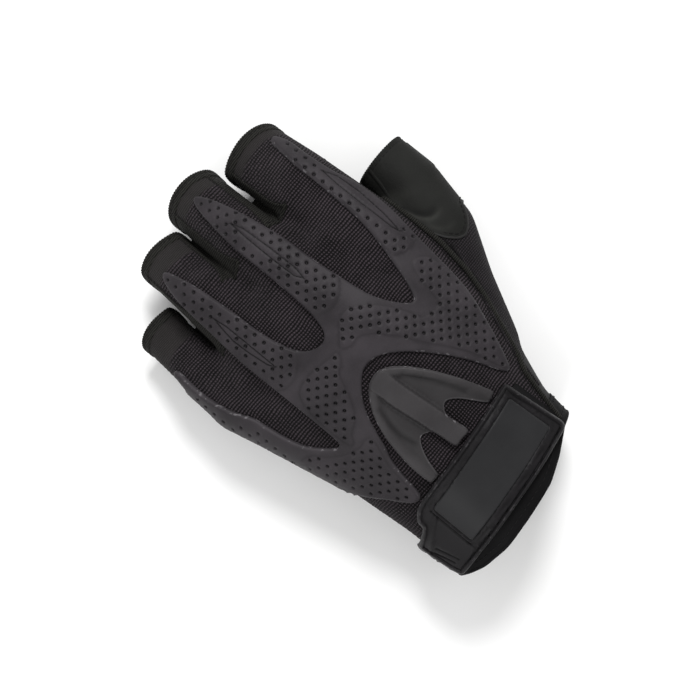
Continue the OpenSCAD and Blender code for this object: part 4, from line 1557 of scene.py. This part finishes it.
def make_strap():
    label = rounded(LABEL_OUTLINE, 1.0)
    lines = TOE_LINES + FLOW_LINES
    marks = np.concatenate([groove_marks(lines, 0.4, 0.7), groove_marks([TOE_RIDGE], 0.7, 0.7),
                            groove_marks([np.concatenate([label, label[:1]])], 0.7, 0.8)])
    plate = Plate(rounded(STRAP, 1.2), 1.1, (0.2, 0.5, 0.9, 1.4, 1.8, 2.2), marks)
    xy, edge = plate.xy, plate.edge
    around, inside = outline_distance(xy, label)
    level = rounded_edge(edge, STRAP_LOW + 0.9, STRAP_TOP, 0.5)
    level += ridge(edge - 0.9, 0.7, 0.5) - ridge(edge - 1.8, 0.45, 0.45)
    level += np.where(inside, -0.3, ridge(around - 0.75, 0.7, 0.35) - ridge(around - 1.6, 0.35, 0.25))
    creases = ridge(near_lines(xy, TOE_LINES), 0.4, 1.0) + ridge(near_lines(xy, FLOW_LINES), 0.4, 0.7)
    level -= 0.6 * creases
    level += ridge(near_lines(xy, [TOE_RIDGE]), 1.0, 0.6)
    plate.build(level, STRAP_LOW)
    # Painted highlight on the ridge round the label and painted shade in the groove beyond it.
    label_frame_light_and_shade = np.where(inside, 0, ridge(around - 0.3, 0.4, 0.5) - ridge(around - 1.6, 0.4, 0.5))
    # rim: pale outer edge (partly chipped wear, partly painted highlight), painted highlight on the edge
    # ridge, painted shade in the groove inside it.
    rim = 1 - smooth_step(edge, 0.05, 0.3) + ridge(edge - 0.9, 0.3, 0.4) - ridge(edge - 1.8, 0.4, 0.5)
    # The creases get painted shade as well.
    plate.piece("strap_moulding", STRAP_RUBBER, "strap_rubber", "toe_bend", "strap_plate", "strap_toe",
                rim=rim + label_frame_light_and_shade - 0.8 * creases)
    plate = Plate(label, 1.4, (0.2, 0.5, 0.9))
    dome = 0.12 * smooth_step(plate.edge, 0.5, 9.0)
    plate.build(rounded_edge(plate.edge, STRAP_TOP - 0.1, LABEL_TOP - 0.15, 0.5) + dome, STRAP_TOP - 0.6)
    # Pale rounded edge of the label: partly chipped wear, partly painted highlight.
    plate.piece("label_plate_blank", LABEL, "label_plate", "strap", "label_plate",
                rim=0.6 - 0.6 * smooth_step(plate.edge, 0.05, 0.35))
    plate = Plate(rounded(HOOK_OUTLINE, 1.0), 1.6, (0.5,))
    plate.build(STRAP_LOW + 0.05, 1.35)
    plate.piece("hook_tape_patch", HOOKS, "hook_tape", "toe_bend", "strap_hook_tape", "toe_hook_tape")
    plate = Plate(rounded(LOOP_OUTLINE, 1.0), 1.6, (0.5,))
    plate.build(rounded_edge(plate.edge, 0.6, 1.0, 0.6), -0.2)
    plate.piece("loop_field_pile", PILE, "loop_pile", "hand", "loop_field")
    plate = Plate(rounded(TAB_OUTLINE, 0.8), 1.0, (0.4,))
    climb = smooth_step(plate.xy[:, 0], 20.6, 16.5)
    plate.build(0.7 + 1.25 * climb, 0.0 + 1.2 * climb)
    plate.piece("strap_root_tab", CUFF_LEATHER, "cuff_binding", "root_bend", "strap_anchor")


# ---------------------------------------------------------------- palm
GRIP_PATCH = [[34, 46], [36, 28], [30, 14], [10, 12], [-22, 12], [-44, 18], [-50, 30], [-45, 40], [0, 50]]
PAD_OUTLINE = [
    [12, -50], [17, -42], [20, -28], [20, -12], [16, 0], [8, 6], [-4, 8], [-20, 4], [-29, -6], [-30, -24],
    [-27, -44], [-20, -52], [-6, -55], [4, -54]]


def make_palm():
    patch = rounded(GRIP_PATCH, 6.0, 8)
    plate = Plate(patch, 1.6, (0.3, 0.8))
    plate.build(rounded_edge(plate.edge, 0.6, 1.0, 0.8), SUNK, from_below=True, aim=False)
    plate.piece("palm_grip_leather", GRIP_LEATHER, "grip_leather", "hand", "palm_grip_patch")
    patch = patch if outline_area(patch) > 0 else patch[::-1]
    line, _ = lay(patch + left_of(patch, True) * 1.6, from_below=True)
    sew("palm_grip_stitches", [stitches(line, 2.4, level=1.1, closed=True)], THREAD, "grip_leather", "hand")
    plate = Plate(spline(PAD_OUTLINE, 1.0, True), 1.5, (0.4, 0.9, 1.6, 2.6))
    surface, _ = lay(plate.xy, from_below=True)
    crown = smooth_step(plate.edge, -1.5, 7.0)
    plate.build(np.maximum(surface[:, 2] - 0.25, 0.4) * crown + 0.2, SUNK, from_below=True, aim=False)
    plate.top[:, 2] = np.maximum(plate.top[:, 2], 0.05)
    plate.normals = vertex_normals(plate.top, plate.tris)
    pad = plate.piece("palm_heel_pad", PALM_LEATHER, "grip_leather", "hand", "palm_pad")


make_hand_panels()
make_webs()
make_thumb()
make_piping()
make_cuff()
make_knuckle_guard()
make_carpal_guard()
make_strap()
make_palm()


# ---------------------------------------------------------------- light, floor and camera
def make_floor(size=3.0):
    bpy.ops.mesh.primitive_grid_add(x_subdivisions=8, y_subdivisions=8, size=size, location=(0, 0, -0.0006))
    floor = bpy.context.object
    floor.name = "floor"
    add_attribute(floor.data, "rest", np.array([v.co for v in floor.data.vertices]) / MM)
    n = Graph("pale_floor", (0.86, 0.86, 0.86), 0.7, 0.2)
    tones = [(0.3, (0.87, 0.87, 0.865)), (0.7, (0.9, 0.9, 0.9))]
    floor.data.materials.append(n.finish(n.ramp(n.noise(0.02), tones)))


def add_light(name, place, size, power, target=(0.0, 0.02, 0.02)):
    light = bpy.data.lights.new(name, "AREA")
    light.shape = "DISK"
    light.size = size
    light.energy = power
    obj = add_object(name, light)
    obj.location = place
    obj.rotation_euler = (Vector(target) - Vector(place)).to_track_quat("-Z", "Y").to_euler()


def make_world(strength):
    world = bpy.data.worlds.new("studio")
    world.use_nodes = True
    background = world.node_tree.nodes["Background"]
    background.inputs["Color"].default_value = (1, 1, 1, 1)
    background.inputs["Strength"].default_value = strength
    bpy.context.scene.world = world


def make_camera():
    camera = bpy.data.cameras.new("camera")
    camera.lens = 85
    camera.sensor_width = 36
    obj = add_object("camera", camera)
    right, up = Vector((0.637, -0.771, 0)), Vector((0.771, 0.637, 0))
    turn = Matrix((right, up, right.cross(up))).transposed()
    obj.matrix_world = Matrix.Translation((-0.0083, 0.0215, 0.626)) @ turn.to_4x4()
    bpy.context.scene.camera = obj


make_floor()
make_world(0.62)
add_light("key", (0.5, 0.42, 0.75), 0.35, 8.5)
add_light("fill", (-0.6, -0.1, 0.6), 0.6, 3.0)
make_camera()
bpy.context.scene.view_settings.view_transform = "Standard"
